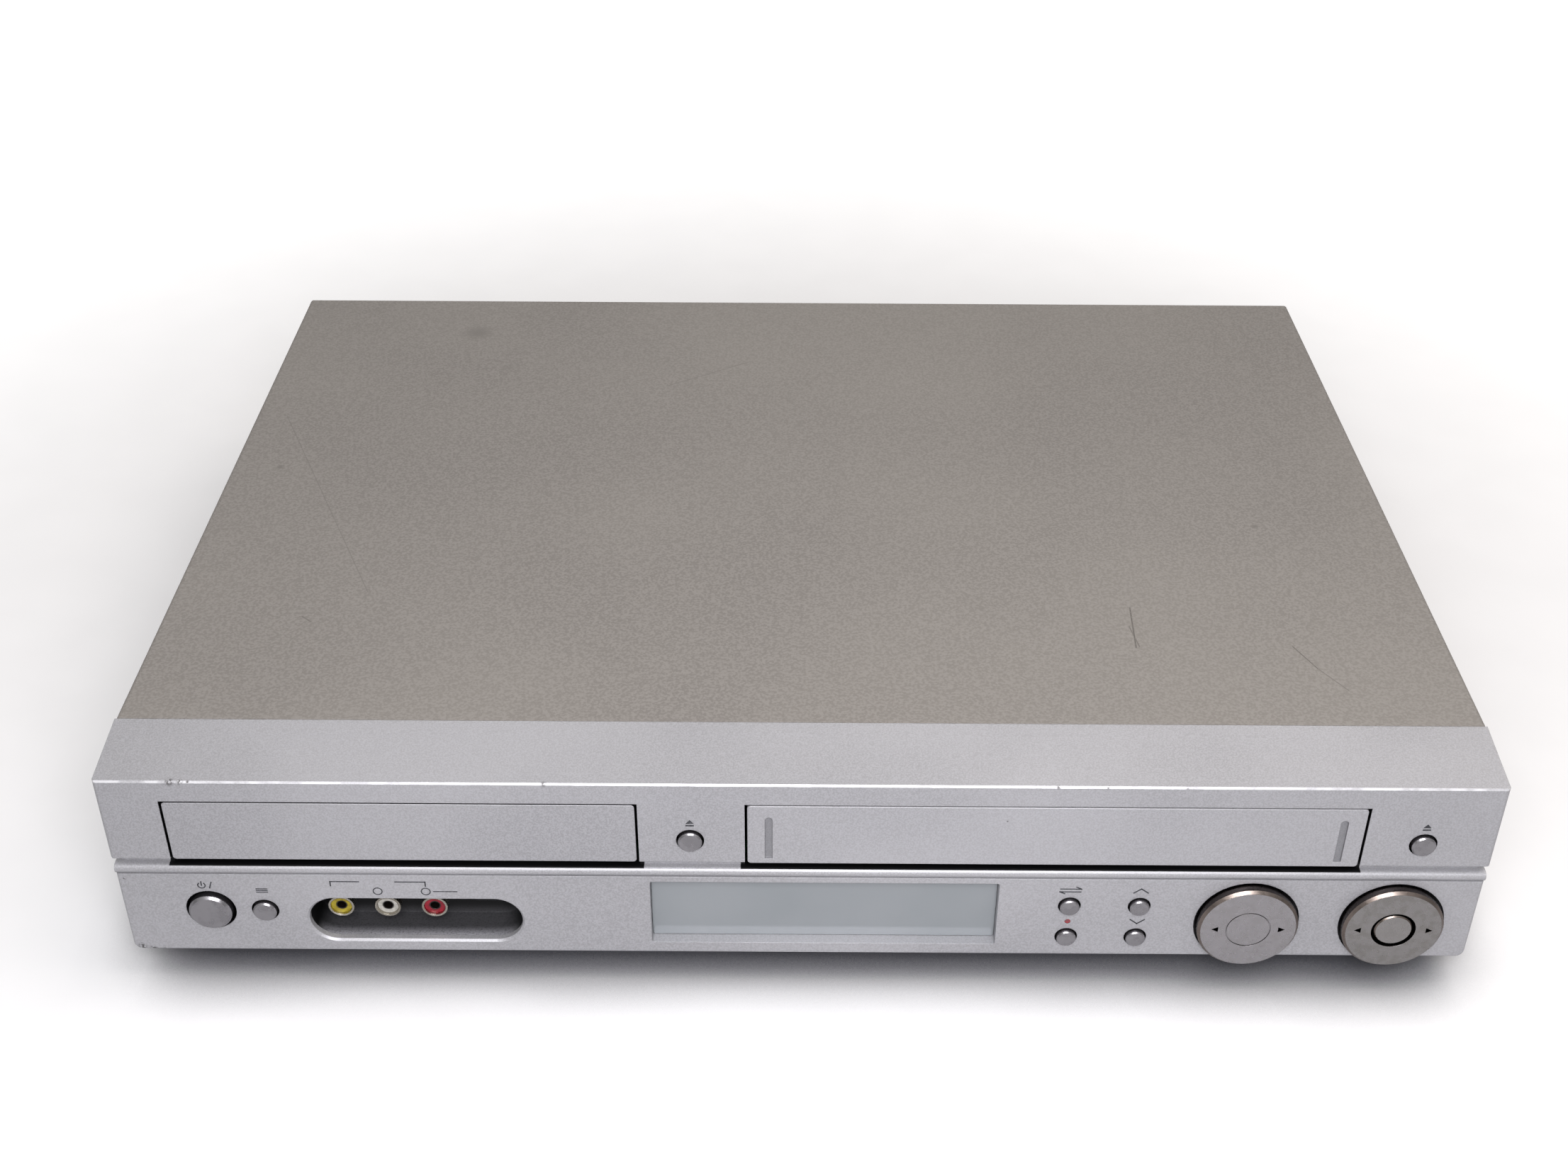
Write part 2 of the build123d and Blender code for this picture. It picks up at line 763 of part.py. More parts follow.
def cover_screws():
    z = case_top - cover_flange / 2
    screws = []
    for x in screw_x:
        head = rod_y(x, z, screw_head_radius, (cover_back, cover_back + screw_head_height))
        head = fillet(head.edges().group_by(Axis.Y)[-1], screw_head_edge)
        slot_y = (cover_back + screw_head_height - screw_slot_depth, cover_back + screw_head_height + 1)
        long, short = screw_slot
        head -= slab(about(x, long), slot_y, about(z, short))
        head -= slab(about(x, short), slot_y, about(z, long))
        screws.append(head + rod_y(x, z, screw_radius, (panel_y[0] - 3, cover_back)))
    return screws


def bottom_chassis():
    """The steel pan: floor, side walls, a raised front tongue, posts for the loader, boards and deck."""
    y = (seam_y + seam_gap, panel_y[0])
    pan = slab(about(0, cover_inside), y, (foot_height, chassis_floor))
    for side in (-1, 1):
        x = sorted((side * cover_inside, side * (cover_inside - sheet)))
        pan += slab(x, y, (foot_height, chassis_floor + chassis_side))
    step_top = foot_height + bezel_floor + sheet
    tongue_x = about(0, half_width - chassis_tongue_inset)
    pan += slab(tongue_x, (y[0], y[0] + sheet), (foot_height, step_top))
    tongue_y = (seam_y - 2 * tongue, y[0] + sheet)
    pan += slab(tongue_x, tongue_y, (foot_height + bezel_floor, step_top))
    for x, post_y in loader_posts():
        pan += rod_z(x, post_y, loader_post_radius, (foot_height, loader_base_z))
    for x, post_y in board_pillars():
        pan += rod_z(x, post_y, pillar_radius, (foot_height, inner_board_z))
    # Vent slots under the power board
    vent_y = [power_board_y[0] + offset for offset in chassis_vent_y]
    for step in range(chassis_vent_count):
        x = power_board_x[0] + chassis_vent_inset + step * chassis_vent_pitch
        pan -= slab(about(x, chassis_vent_half), vent_y, (foot_height - 1, chassis_floor + 1))
    return pan


def loader_posts():
    """Where the posts under the disc loader stand."""
    x = (loader_x - loader_half_width + loader_post_inset, loader_x + loader_half_width - loader_post_inset)
    y = (loader_y[0] + loader_post_front, loader_y[1] - loader_post_inset)
    return [(px, py) for px in x for py in y]


def board_pillars():
    """Where the pillars under the main board, the power board and the tape deck stand."""
    places = []
    boards = (
        (about(loader_x, main_board_half), main_board_y),
        (power_board_x, power_board_y),
        (about(deck_x, deck_half), deck_y),
    )
    for x, y in boards:
        for px in (x[0] + pillar_inset, x[1] - pillar_inset):
            for py in (y[0] + pillar_inset, y[1] - pillar_inset):
                places.append((px, py))
    return places


def feet():
    """Four round rubber feet, narrower at the floor, each with a hollow round its screw."""
    made = []
    for x in (-foot_x, foot_x):
        for y in (foot_front_y, foot_rear_y):
            foot = Pos(x, y, foot_height / 2) * Cone(foot_radius - foot_taper, foot_radius, foot_height)
            foot = fillet(foot.edges().group_by(Axis.Z)[0], foot_edge)
            made.append(foot - rod_z(x, y, foot_hollow, (-1, foot_height - foot_hollow)))
    return made


def rear_panel():
    panel = slab(about(0, cover_inside - sheet), panel_y, (chassis_floor, cover_under))
    span = (panel_y[0] - 1, panel_y[1] + 1)
    for x in screw_x:
        panel -= rod_y(x, case_top - cover_flange / 2, screw_hole_radius, span)
    # Fan grille: rings of slots between four ribs
    grille = rod_y(*fan_centre, fan_bore - grille_inset, span)
    for step in (1, 2):
        radius = fan_bore - grille_inset - step * grille_pitch
        grille -= rod_y(*fan_centre, radius, span) - rod_y(*fan_centre, radius - grille_ring, span)
    fx, fz = fan_centre
    grille -= slab(about(fx, grille_rib_half), span, about(fz, fan_bore))
    grille -= slab(about(fx, fan_bore), span, about(fz, grille_rib_half))
    grille -= rod_y(*fan_centre, grille_hub, span)
    panel -= grille
    ix, iz = inlet_centre
    gap = rear_gap
    panel -= slab(about(ix, inlet_size[0] / 2 - 3 + gap), span, about(iz, inlet_size[1] / 2 - 1 + gap))
    for x, z in rear_jacks():
        panel -= rod_y(x, z, jack_shell_radius + gap, span)
    scart_half = (scart_size[0] / 2 - scart_rim + gap, scart_size[1] / 2 - scart_rim + gap)
    for z in scart_z:
        panel -= slab(about(scart_x, scart_half[0]), span, about(z, scart_half[1]))
    for x, z in coax_places():
        panel -= rod_y(x, z, coax_radius + gap, span)
    vent_z = about(middle_of(tuner_z) - vent_drop, vent_height / 2)
    for step in range(vent_count):
        panel -= slab(about(half_width - vent_inset - step * vent_pitch, vent_width / 2), span, vent_z)
    return panel


def rear_jacks():
    """Two rows of phono jacks in the rear jack block."""
    start = jack_block_x[0] + (length_of(jack_block_x) - 3 * rear_jack_pitch) / 2
    rows = (middle_of(jack_block_z) - rear_jack_pitch / 2, middle_of(jack_block_z) + rear_jack_pitch / 2)
    return [(start + step * rear_jack_pitch, z) for step in range(4) for z in rows]


def coax_places():
    """The aerial input over the aerial output."""
    z = middle_of(tuner_z)
    return [(middle_of(tuner_x), z - coax_spacing / 2), (middle_of(tuner_x), z + coax_spacing / 2)]


# ---------------------------------------------------------------- fascia pieces
def push_button(x, z, front, hole, body, face, proud):
    """A cap through a hole in the bezel, with a flange behind the wall and a stem towards its switch."""
    cap_y = (front - proud, bezel_wall + flange_gap + flange_thickness)
    cap = rod_y(x, z, body, cap_y)
    cap = chamfer(cap.edges().group_by(Axis.Y)[0], body - face)
    flange = rod_y(x, z, hole + flange_overlap, (bezel_wall + flange_gap, cap_y[1]))
    stem_end = board_y - switch_height - button_travel - stem_gap
    return cap + flange + rod_y(x, z, stem_radius, (cap_y[1], stem_end))


def small_button(x, z):
    sizes = (small_hole_radius, small_body_radius, small_face_radius, small_proud)
    return push_button(x, z, panel_set_back, *sizes)


def round_button(x, z, front):
    return push_button(x, z, front, round_hole_radius, round_body_radius, round_face_radius, round_proud)


def power_button():
    sizes = (power_hole_radius, power_body_radius, power_face_radius, power_proud)
    return push_button(*power_at, panel_set_back, *sizes)


def dial_disc(x):
    """A dial's round face with its chamfered rim."""
    back = panel_set_back + dial_pocket_depth - dial_lift
    disc = rod_y(x, dial_z, dial_radius, (-dial_proud, back))
    return chamfer(disc.edges().group_by(Axis.Y)[0], dial_rim), back


def copy_dial():
    """The left and right rocking dial, on two upright pins behind the bezel's wall."""
    disc, back = dial_disc(copy_dial_x)
    hub_y = (back, dial_pivot_y + gimbal_height / 2)
    dial = disc + rod_y(copy_dial_x, dial_z, dial_hub_radius, hub_y)
    pin_reach = gimbal_outer + ear_gap + ear_thickness - 0.1
    dial += rod_z(copy_dial_x, dial_pivot_y, dial_pin_radius, about(dial_z, pin_reach))
    cut = (-dial_proud - 1, -dial_proud + engraved_depth)
    ring = rod_y(copy_dial_x, dial_z, engraved_circle, cut)
    return dial - (ring - rod_y(copy_dial_x, dial_z, engraved_circle - engraved_width, cut))


def navigation_ring():
    """The four-way ring, on two level pins in the gimbal."""
    disc, back = dial_disc(ring_dial_x)
    hub_y = (back, dial_pivot_y + gimbal_height / 2)
    ring = disc + rod_y(ring_dial_x, dial_z, dial_hub_radius, hub_y)
    ring += rod_x(dial_pivot_y, dial_z, dial_pin_radius, about(ring_dial_x, gimbal_outer - 0.1))
    return ring - rod_y(ring_dial_x, dial_z, ring_bore, (-dial_proud - 1, hub_y[1] + 1))


def ring_gimbal():
    """The hoop between the navigation ring and the bezel's ears."""
    y = about(dial_pivot_y, gimbal_height / 2)
    hoop = rod_y(ring_dial_x, dial_z, gimbal_outer, y) - rod_y(ring_dial_x, dial_z, gimbal_inner, y)
    hoop -= rod_x(dial_pivot_y, dial_z, dial_pin_radius + pin_play, about(ring_dial_x, gimbal_outer + 1))
    reach = gimbal_outer + ear_gap + ear_thickness - 0.1
    for side in (-1, 1):
        span = sorted((dial_z + side * (gimbal_inner + 0.5), dial_z + side * reach))
        hoop += rod_z(ring_dial_x, dial_pivot_y, dial_pin_radius, span)
    return hoop


def play_button():
    """The round button in the ring's middle, guided by its stem."""
    head_back = dial_pivot_y + gimbal_height / 2 - button_travel
    head = rod_y(ring_dial_x, dial_z, play_radius, (-dial_proud, head_back))
    head = chamfer(head.edges().group_by(Axis.Y)[0], 0.4)
    stem_end = board_y - switch_height - button_travel - stem_gap
    return head + rod_y(ring_dial_x, dial_z, play_stem_radius, (head_back, stem_end))


def display_window():
    """The lens: a plate in the well with a flange that lies on the well's back."""
    inner_size = (length_of(window_x) - 2 * window_fit, length_of(window_z) - 2 * window_fit)
    inner = RectangleRounded(*inner_size, window_corner)
    lens = from_front(inner, middle_of(window_x), middle_of(window_z), (lens_y, well_back))
    x = (window_x[0] - lens_flange / 2, window_x[1] + lens_flange / 2)
    z = (window_z[0] - lens_flange / 2, window_z[1] + lens_flange / 2)
    return lens + slab(x, (well_back, well_back + lens_flange / 2), z)


def display_module():
    """The fluorescent display's glass, on its frame in front of the board."""
    front = well_back + lens_flange / 2 + display_gap
    x = (window_x[0] + display_margin, window_x[1] - display_margin)
    back = front + glass_thickness
    inset = glass_inset
    glass = slab(x, (front, back), (window_z[0] + inset, window_z[1] - inset))
    frame_z = (window_z[0] + 2 * inset, window_z[1] - 2 * inset)
    frame = slab((x[0] + inset, x[1] - inset), (back, board_y), frame_z)
    tip = rod_x((front + back) / 2, middle_of(window_z), tip_radius, (x[1], x[1] + 2 * tip_radius))
    return glass + frame + tip


def front_board():
    """The board behind the fascia and two small ones over it, with a switch behind each button."""
    y = (board_y, board_y + board_thickness)
    parts = [slab(board_x, y, board_z)]
    for x, _ in (open_at, eject_at):
        parts.append(slab(about(x, board_tab_half), y, (board_z[1] + board_joint, board_tab_top)))
    places = [open_at, eject_at, power_at, scan_at, (ring_dial_x, dial_z)]
    places += [(x, z) for x in small_x for z in small_z]
    base_y = (board_y - switch_height + switch_top, board_y)
    for x, z in places:
        switch = slab(about(x, switch_size / 2), base_y, about(z, switch_size / 2))
        parts.append(switch + rod_y(x, z, switch_pin_radius, (board_y - switch_height, base_y[0])))
    switch_z = about(dial_z - dial_switch_drop, switch_size / 2)
    for x in (copy_dial_x, ring_dial_x):
        for side in (-1, 1):
            switch_x = x + side * (dial_radius - dial_switch_inset)
            parts.append(slab(about(switch_x, switch_size / 2), base_y, switch_z))
    return parts


def jack_recess():
    """The dark cup behind the lower panel's long opening."""
    outer = SlotOverall(recess_length + 2 * recess_wall, recess_height + 2 * recess_wall)
    inner = SlotOverall(recess_length, recess_height)
    back = recess_back_y + recess_wall
    cup = from_front(outer, *recess_centre, (bezel_wall, back))
    rim = SlotOverall(recess_length + 2 * recess_wall + 2 * recess_flange, recess_height + 2 * recess_wall)
    cup += from_front(rim, *recess_centre, (bezel_wall, bezel_wall + recess_wall))
    cup -= from_front(inner, *recess_centre, (0, recess_back_y))
    for x in jack_x:
        cup -= rod_y(x, recess_centre[1], jack_neck_radius + pin_play, (0, back + 1))
    half_x, half_z = dv_socket_size[0] / 2 + pin_play, dv_socket_size[1] / 2 + pin_play
    cup -= slab(about(dv_socket_x, half_x), (0, back + 1), about(recess_centre[1], half_z))
    return cup


def jack_shell(x, z):
    """A phono jack's metal shell, open in front, with the neck that goes through the recess's back wall."""
    shoulder = recess_back_y - jack_shoulder_gap
    shell = rod_y(x, z, jack_shell_radius, (jack_front_y, shoulder))
    shell += rod_y(x, z, jack_neck_radius, (shoulder, board_y))
    return shell - rod_y(x, z, jack_shell_radius - jack_shell_wall, (jack_front_y - 1, board_y + 1))


def rca_shells():
    return [jack_shell(x, recess_centre[1]) for x in jack_x]


def jack_insert(x, z, front, back):
    """The coloured insert in a phono jack, with the hole for the plug's pin."""
    insert = rod_y(x, z, jack_shell_radius - jack_shell_wall - pin_play, (front, back))
    return insert - rod_y(x, z, jack_contact_radius, (front - 1, front + jack_hole_depth))


def dv_socket():
    """The digital video socket, flush in the recess's back wall."""
    half_x, half_z = dv_socket_size[0] / 2, dv_socket_size[1] / 2
    z = recess_centre[1]
    body = slab(about(dv_socket_x, half_x), (recess_back_y - dv_socket_proud, board_y), about(z, half_z))
    mouth_y = (recess_back_y - 2, board_y - 1)
    mouth = slab(about(dv_socket_x, dv_slot_size[0] / 2), mouth_y, about(z, dv_slot_size[1] / 2))
    key_y = (recess_back_y + dv_key_set_back, board_y)
    key = slab(about(dv_socket_x, dv_key_half[0]), key_y, about(z, dv_key_half[1]))
    return body - mouth + key


def tray_front():
    outline = RectangleRounded(length_of(tray_front_x), length_of(tray_front_z), door_corner)
    plate = from_front(outline, loader_x, middle_of(tray_front_z), (0, tray_front_thickness))
    return fillet(plate.edges().group_by(Axis.Y)[0], front_edge)


def cassette_door():
    """The door, with its two ears, their pins and the finger marks."""
    outline = RectangleRounded(length_of(door_x), length_of(door_z), door_corner)
    door = from_front(outline, deck_x, middle_of(door_z), (0, door_thickness))
    door = fillet(door.edges().group_by(Axis.Y)[0], front_edge)
    for side, edge in ((-1, door_x[0]), (1, door_x[1])):
        mark_x = edge - side * mark_inset
        mark_z = (mark_low_z, mark_low_z + mark_height)
        mark = slab(about(mark_x, mark_width / 2), (-1, mark_depth), mark_z)
        mark += rod_y(mark_x, mark_z[1], mark_width / 2, (-1, mark_depth))
        door -= mark
        x = sorted((edge, edge - side * door_ear_width))
        ear_low = door_z[1] - ear_reach
        foot_y = (door_thickness, door_pivot_y + door_ear_radius)
        foot = slab(x, foot_y, (ear_low, door_z[1] - ear_set_down))
        ear = slab(x, about(door_pivot_y, door_ear_radius), (ear_low, door_pivot_z))
        ear += rod_x(door_pivot_y, door_pivot_z, door_ear_radius, x)
        pin_x = sorted((edge, edge + side * (door_pin_length + door_gap)))
        pin = rod_x(door_pivot_y, door_pivot_z, door_pin_radius, pin_x)
        door += foot + ear + pin
    return door


# ---------------------------------------------------------------- disc loader
def involute_gear(module, teeth, addendum, dedendum, backlash, thickness):
    """A spur gear with involute flanks, a tooth on its +X axis."""
    pressure = radians(20)
    pitch = module * teeth / 2
    base = pitch * cos(pressure)
    tip = pitch + addendum * module
    root = pitch - dedendum * module
    half_tooth = (pi * module / 2 - backlash) / (2 * pitch) + tan(pressure) - pressure
    flank = []
    steps = 5
    for step in range(steps + 1):
        radius = max(base, root) + (tip - max(base, root)) * step / steps
        roll = sqrt(max(radius * radius / (base * base) - 1, 0))
        flank.append((radius, half_tooth - (roll - atan(roll))))
    points = []
    for tooth in range(teeth):
        middle = 2 * pi * tooth / teeth
        points.append((root, middle - flank[0][1]))
        points += [(radius, middle - angle) for radius, angle in flank]
        points += [(radius, middle + angle) for radius, angle in reversed(flank)]
        points.append((root, middle + flank[0][1]))
    outline = [(radius * cos(angle), radius * sin(angle)) for radius, angle in points]
    return extrude(make_face(Polyline(*outline, close=True)), amount=thickness)


def tray_gear():
    """The gear that drives the tray's rack, on the loader's post."""
    thickness = length_of(gear_z)
    gear = involute_gear(gear_module, gear_teeth, gear_addendum, gear_dedendum, gear_backlash, thickness)
    gear = Pos(gear_x, gear_y, gear_z[0]) * gear
    return gear - rod_z(gear_x, gear_y, gear_post_radius + pin_play, (gear_z[0] - 1, gear_z[1] + 1))


def tray_rack():
    """The rack under the tray. A gap between two of its teeth faces the gear's tooth on +X."""
    pitch_x = gear_x + pitch_radius
    step = pi * gear_module
    slope = tan(radians(20))
    thin = gear_addendum * gear_module
    thick = gear_dedendum * gear_module
    half = (step / 2 - gear_backlash) / 2
    back_x = (pitch_x + thick, pitch_x + thick + rack_back)
    rack = slab(back_x, rack_y, (gear_z[0], tray_z[0]))
    first = int((rack_y[0] - gear_y) / step) - 1
    last = int((rack_y[1] - gear_y) / step) + 1
    for number in range(first, last):
        y = gear_y + (number + 0.5) * step
        if rack_y[0] + half + rack_tooth_margin < y < rack_y[1] - half - rack_tooth_margin:
            tooth = (
                (pitch_x - thin, y - half + thin * slope),
                (pitch_x + thick, y - half - thick * slope),
                (pitch_x + thick, y + half + thick * slope),
                (pitch_x - thin, y + half - thin * slope),
            )
            face = make_face(Polyline(*tooth, close=True))
            rack += Pos(0, 0, gear_z[0]) * extrude(face, amount=tray_z[0] - gear_z[0])
    return rack


def dvd_tray():
    """The tray: two disc recesses, a slot that is open to the back, and the rack underneath."""
    y = (tray_front_thickness, tray_back_y)
    tray = slab(about(loader_x, tray_half_width), y, tray_z)
    top = tray_z[1]
    tray -= rod_z(loader_x, disc_centre_y, disc_recess_radius, (top - disc_recess_depth, top + 1))
    inner_floor = top - disc_recess_depth - small_disc_depth
    tray -= rod_z(loader_x, disc_centre_y, small_disc_radius, (inner_floor, top + 1))
    tall = (tray_z[0] - 1, top + 1)
    pickup_slot_y = disc_centre_y + pickup_slot_past_disc
    tray -= slab(about(loader_x, hub_slot_half), (disc_centre_y, pickup_slot_y + 1), tall)
    tray -= rod_z(loader_x, disc_centre_y, hub_slot_half, tall)
    tray -= slab(about(loader_x, pickup_slot_half), (pickup_slot_y, tray_back_y + 1), tall)
    return tray + tray_rack()


def loader_chassis():
    """The loader's frame: base, side walls, rails under the tray, lugs over it, the gear's post, ears."""
    x_out = about(loader_x, loader_half_width)
    base_z = (loader_base_z, loader_base_z + loader_base)
    frame = slab(x_out, loader_y, base_z)
    side_in, front_in, back_in = traverse_window
    window_y = (traverse_y[0] + front_in, traverse_y[1] - back_in)
    frame -= slab(about(loader_x, traverse_half_width - side_in), window_y, (base_z[0] - 1, base_z[1] + 1))
    for side in (-1, 1):
        outer_x = loader_x + side * loader_half_width
        wall_x = sorted((outer_x, outer_x - side * loader_wall))
        frame += slab(wall_x, loader_y, (loader_base_z, loader_top_z))
        wall_inside = wall_x[0] if side > 0 else wall_x[1]
        rail_x = sorted((wall_inside, loader_x + side * (tray_half_width - rail_width)))
        frame += slab(rail_x, loader_y, (tray_z[0] - tray_play - rail_thickness, tray_z[0] - tray_play))
        for lug_y in [loader_y[0] + offset for offset in lug_from_front] + [loader_y[1] - lug_from_back]:
            lug_z = (tray_z[1] + tray_play, loader_top_z - lug_set_down)
            frame += slab(rail_x, (lug_y, lug_y + lug_length), lug_z)
    boss = rod_z(gear_x, gear_y, gear_boss_radius, (loader_base_z, gear_z[0] - flange_gap))
    frame += boss + rod_z(gear_x, gear_y, gear_post_radius, (loader_base_z, gear_z[1] + gear_post_proud))
    ear_inner = traverse_half_width + traverse_ear_gap
    for side in (-1, 1):
        ear_x = sorted((loader_x + side * ear_inner, loader_x + side * (ear_inner + traverse_ear)))
        ear = slab(ear_x, about(pivot_y, traverse_ear_half), (loader_base_z, pivot_z + traverse_ear_top))
        frame += ear - rod_x(pivot_y, pivot_z, traverse_pin_radius + pin_play, (ear_x[0] - 1, ear_x[1] + 1))
    return frame


def traverse_plate():
    """The plate that carries the turntable's motor and the pickup's rods, on two hinge pins."""
    plate = slab(about(loader_x, traverse_half_width), traverse_y, traverse_z)
    beam_z = (traverse_z[0], pivot_z + pivot_beam_half)
    plate += slab(about(loader_x, traverse_half_width), about(pivot_y, pivot_beam_half), beam_z)
    pin_half = traverse_half_width + traverse_ear_gap + traverse_ear - 0.1
    plate += rod_x(pivot_y, pivot_z, traverse_pin_radius, about(loader_x, pin_half))
    plate += rod_z(loader_x, disc_centre_y, motor_radius, (traverse_z[0], motor_top_z))
    shaft_hole = (motor_top_z - 4, motor_top_z + 1)
    plate -= rod_z(loader_x, disc_centre_y, turntable_shaft_radius + pin_play, shaft_hole)
    for side in (-1, 1):
        x = loader_x + side * rod_x_offset
        for y in (rod_span[0], rod_span[1] - saddle_length):
            saddle_z = (traverse_z[0], rod_z_height + saddle_top)
            saddle = slab(about(x, saddle_half), (y, y + saddle_length), saddle_z)
            plate += saddle - rod_y_bar(x, rod_radius, (y - 1, y + saddle_length + 1))
    return plate


def rod_y_bar(x, radius, span):
    """A bar on the pickup rods' line."""
    return Pos(x, sum(span) / 2, rod_z_height) * Rot(90, 0, 0) * Cylinder(radius, span[1] - span[0])


def guide_rods():
    return [rod_y_bar(loader_x + side * rod_x_offset, rod_radius, rod_span) for side in (-1, 1)]


def laser_pickup():
    """The sled on the two rods, with the lens in front."""
    sled = slab(about(loader_x, pickup_half_width), pickup_y, pickup_z)
    sled = fillet(sled.edges().filter_by(Axis.Z), pickup_corner)
    for side in (-1, 1):
        rod_x_at = loader_x + side * rod_x_offset
        sled -= rod_y_bar(rod_x_at, rod_radius + pin_play, (pickup_y[0] - 1, pickup_y[1] + 1))
    lens_at = pickup_y[0] + lens_from_front
    turret = rod_z(loader_x, lens_at, lens_radius, (pickup_z[0], pickup_z[1] + lens_height))
    top = pickup_z[1] + lens_height
    lens_z = (top - lens_opening_depth, top + 1)
    return sled + turret - rod_z(loader_x, lens_at, lens_opening_radius, lens_z)


def turntable():
    disc = rod_z(loader_x, disc_centre_y, turntable_radius, turntable_z)
    hub = rod_z(loader_x, disc_centre_y, turntable_hub_radius, (turntable_z[1], turntable_hub_top))
    hub = chamfer(hub.edges().group_by(Axis.Z)[-1], 1.2)
    shaft = rod_z(loader_x, disc_centre_y, turntable_shaft_radius, (motor_top_z - 3.5, turntable_z[0]))
    return disc + hub + shaft


def clamp_bridge():
    """The steel bridge over the tray that holds the clamp puck."""
    x = about(loader_x, loader_half_width)
    z = (loader_top_z, loader_top_z + bridge_thickness)
    bridge = slab(x, about(disc_centre_y, bridge_half), z)
    return bridge - rod_z(loader_x, disc_centre_y, puck_hole_radius, (z[0] - 1, z[1] + 1))


def clamp_puck():
    """The magnetic puck that presses a disc on the turntable."""
    top = loader_top_z + bridge_thickness + puck_gap
    puck = rod_z(loader_x, disc_centre_y, puck_radius, puck_z)
    puck += rod_z(loader_x, disc_centre_y, puck_neck_radius, (puck_z[0], top + puck_top_thickness))
    cap = rod_z(loader_x, disc_centre_y, puck_top_radius, (top, top + puck_top_thickness))
    return puck + chamfer(cap.edges().group_by(Axis.Z)[-1], 0.5)


# ---------------------------------------------------------------- tape deck
def vcr_deck_plate():
    """The deck's steel plate, with the reels' posts and the capstan's bearing."""
    plate = slab(about(deck_x, deck_half), deck_y, deck_z)
    for side in (-1, 1):
        x = deck_x + side * reel_spacing / 2
        plate += rod_z(x, reel_y, reel_post_radius, (deck_z[0], reel_hub_top - reel_post_set_down))
        plate += rod_z(x, reel_y, reel_boss_radius, (deck_z[0], reel_z[0] - flange_gap))
    cx, cy = capstan_place()
    plate += rod_z(cx, cy, capstan_boss_radius, (deck_z[0], pinch_arm_z[0] - flange_gap))
    plate -= rod_z(cx, cy, capstan_radius + pin_play, (deck_z[0] - 1, pinch_arm_z[0]))
    px, py = pinch_place()
    plate += rod_z(px, py, reel_post_radius, (deck_z[0], pinch_arm_z[1] + 1))
    plate += rod_z(px, py, pinch_boss_radius, (deck_z[0], pinch_arm_z[0] - flange_gap))
    hole_half, hole_length = deck_hole
    for y in [deck_y[0] + offset for offset in deck_holes_y]:
        plate -= slab(about(deck_x, hole_half), (y, y + hole_length), (deck_z[0] - 1, deck_z[1] + 1))
    return plate


def capstan_place():
    return (deck_x + capstan_from_middle, drum_centre_y - capstan_before_drum)


def pinch_place():
    return (deck_x + pinch_from_middle, drum_centre_y)


def roller_place():
    """The pinch roller's axis, away from the capstan."""
    px, py = pinch_place()
    angle = radians(pinch_rest_angle)
    return (px + pinch_arm_length * sin(angle), py - pinch_arm_length * cos(angle))


def capstan():
    """The capstan's shaft with its flywheel under the deck plate."""
    cx, cy = capstan_place()
    shaft = rod_z(cx, cy, capstan_radius, (flywheel_z[0], capstan_top_z))
    wheel = rod_z(cx, cy, flywheel_radius, flywheel_z)
    wheel = chamfer(wheel.edges().group_by(Axis.Z)[-1], 0.8)
    collar = rod_z(cx, cy, capstan_collar_radius, (flywheel_z[0], deck_z[0] - flange_gap))
    return shaft + wheel + collar


def reel_table(side):
    """A reel table: a flat wheel, and a hub with three fins that a cassette's reel sits on."""
    x = deck_x + side * reel_spacing / 2
    reel = rod_z(x, reel_y, reel_radius, reel_z)
    reel = chamfer(reel.edges().group_by(Axis.Z)[-1], 0.6)
    hub = rod_z(x, reel_y, reel_hub_radius, (reel_z[0], reel_hub_top))
    reel += chamfer(hub.edges().group_by(Axis.Z)[-1], 1.5)
    for turn in range(3):
        fin_z = (reel_z[0], reel_hub_top - reel_fin_set_down)
        fin = slab((0, reel_hub_radius + reel_fin), about(0, reel_fin_half), fin_z)
        reel += Pos(x, reel_y, 0) * Rot(0, 0, 120 * turn) * fin
    bore_z = (reel_z[0] - 1, reel_hub_top - reel_post_set_down + flange_gap)
    return reel - rod_z(x, reel_y, reel_post_radius + pin_play, bore_z)


def drum_frame():
    """The drum's own frame: on its base, leaning by the drum's tilt."""
    return Pos(deck_x, drum_centre_y, deck_z[1] + drum_base_height - drum_sink) * Rot(-drum_tilt, 0, 0)


def lower_drum():
    """The fixed lower drum on its base block, with the shaft's bore and the tape's ledge."""
    base_z = (deck_z[1], deck_z[1] + drum_base_height)
    base = slab(about(deck_x, drum_base_half), about(drum_centre_y, drum_base_half), base_z)
    base = fillet(base.edges().filter_by(Axis.Z), drum_base_corner)
    barrel = Pos(0, 0, lower_drum_height / 2) * Cylinder(drum_radius, lower_drum_height)
    ledge = Pos(0, 0, drum_ledge[1] / 2) * Cylinder(drum_radius + drum_ledge[0], drum_ledge[1])
    drum = base + drum_frame() * (barrel + ledge)
    bore_length = 2 * (drum_shaft_in + flange_gap)
    bore = Pos(0, 0, lower_drum_height) * Cylinder(drum_shaft_radius + pin_play, bore_length)
    reach = 2 * drum_radius
    keep = slab(about(deck_x, reach), about(drum_centre_y, reach), (deck_z[1], case_top))
    return (drum & keep) - drum_frame() * bore


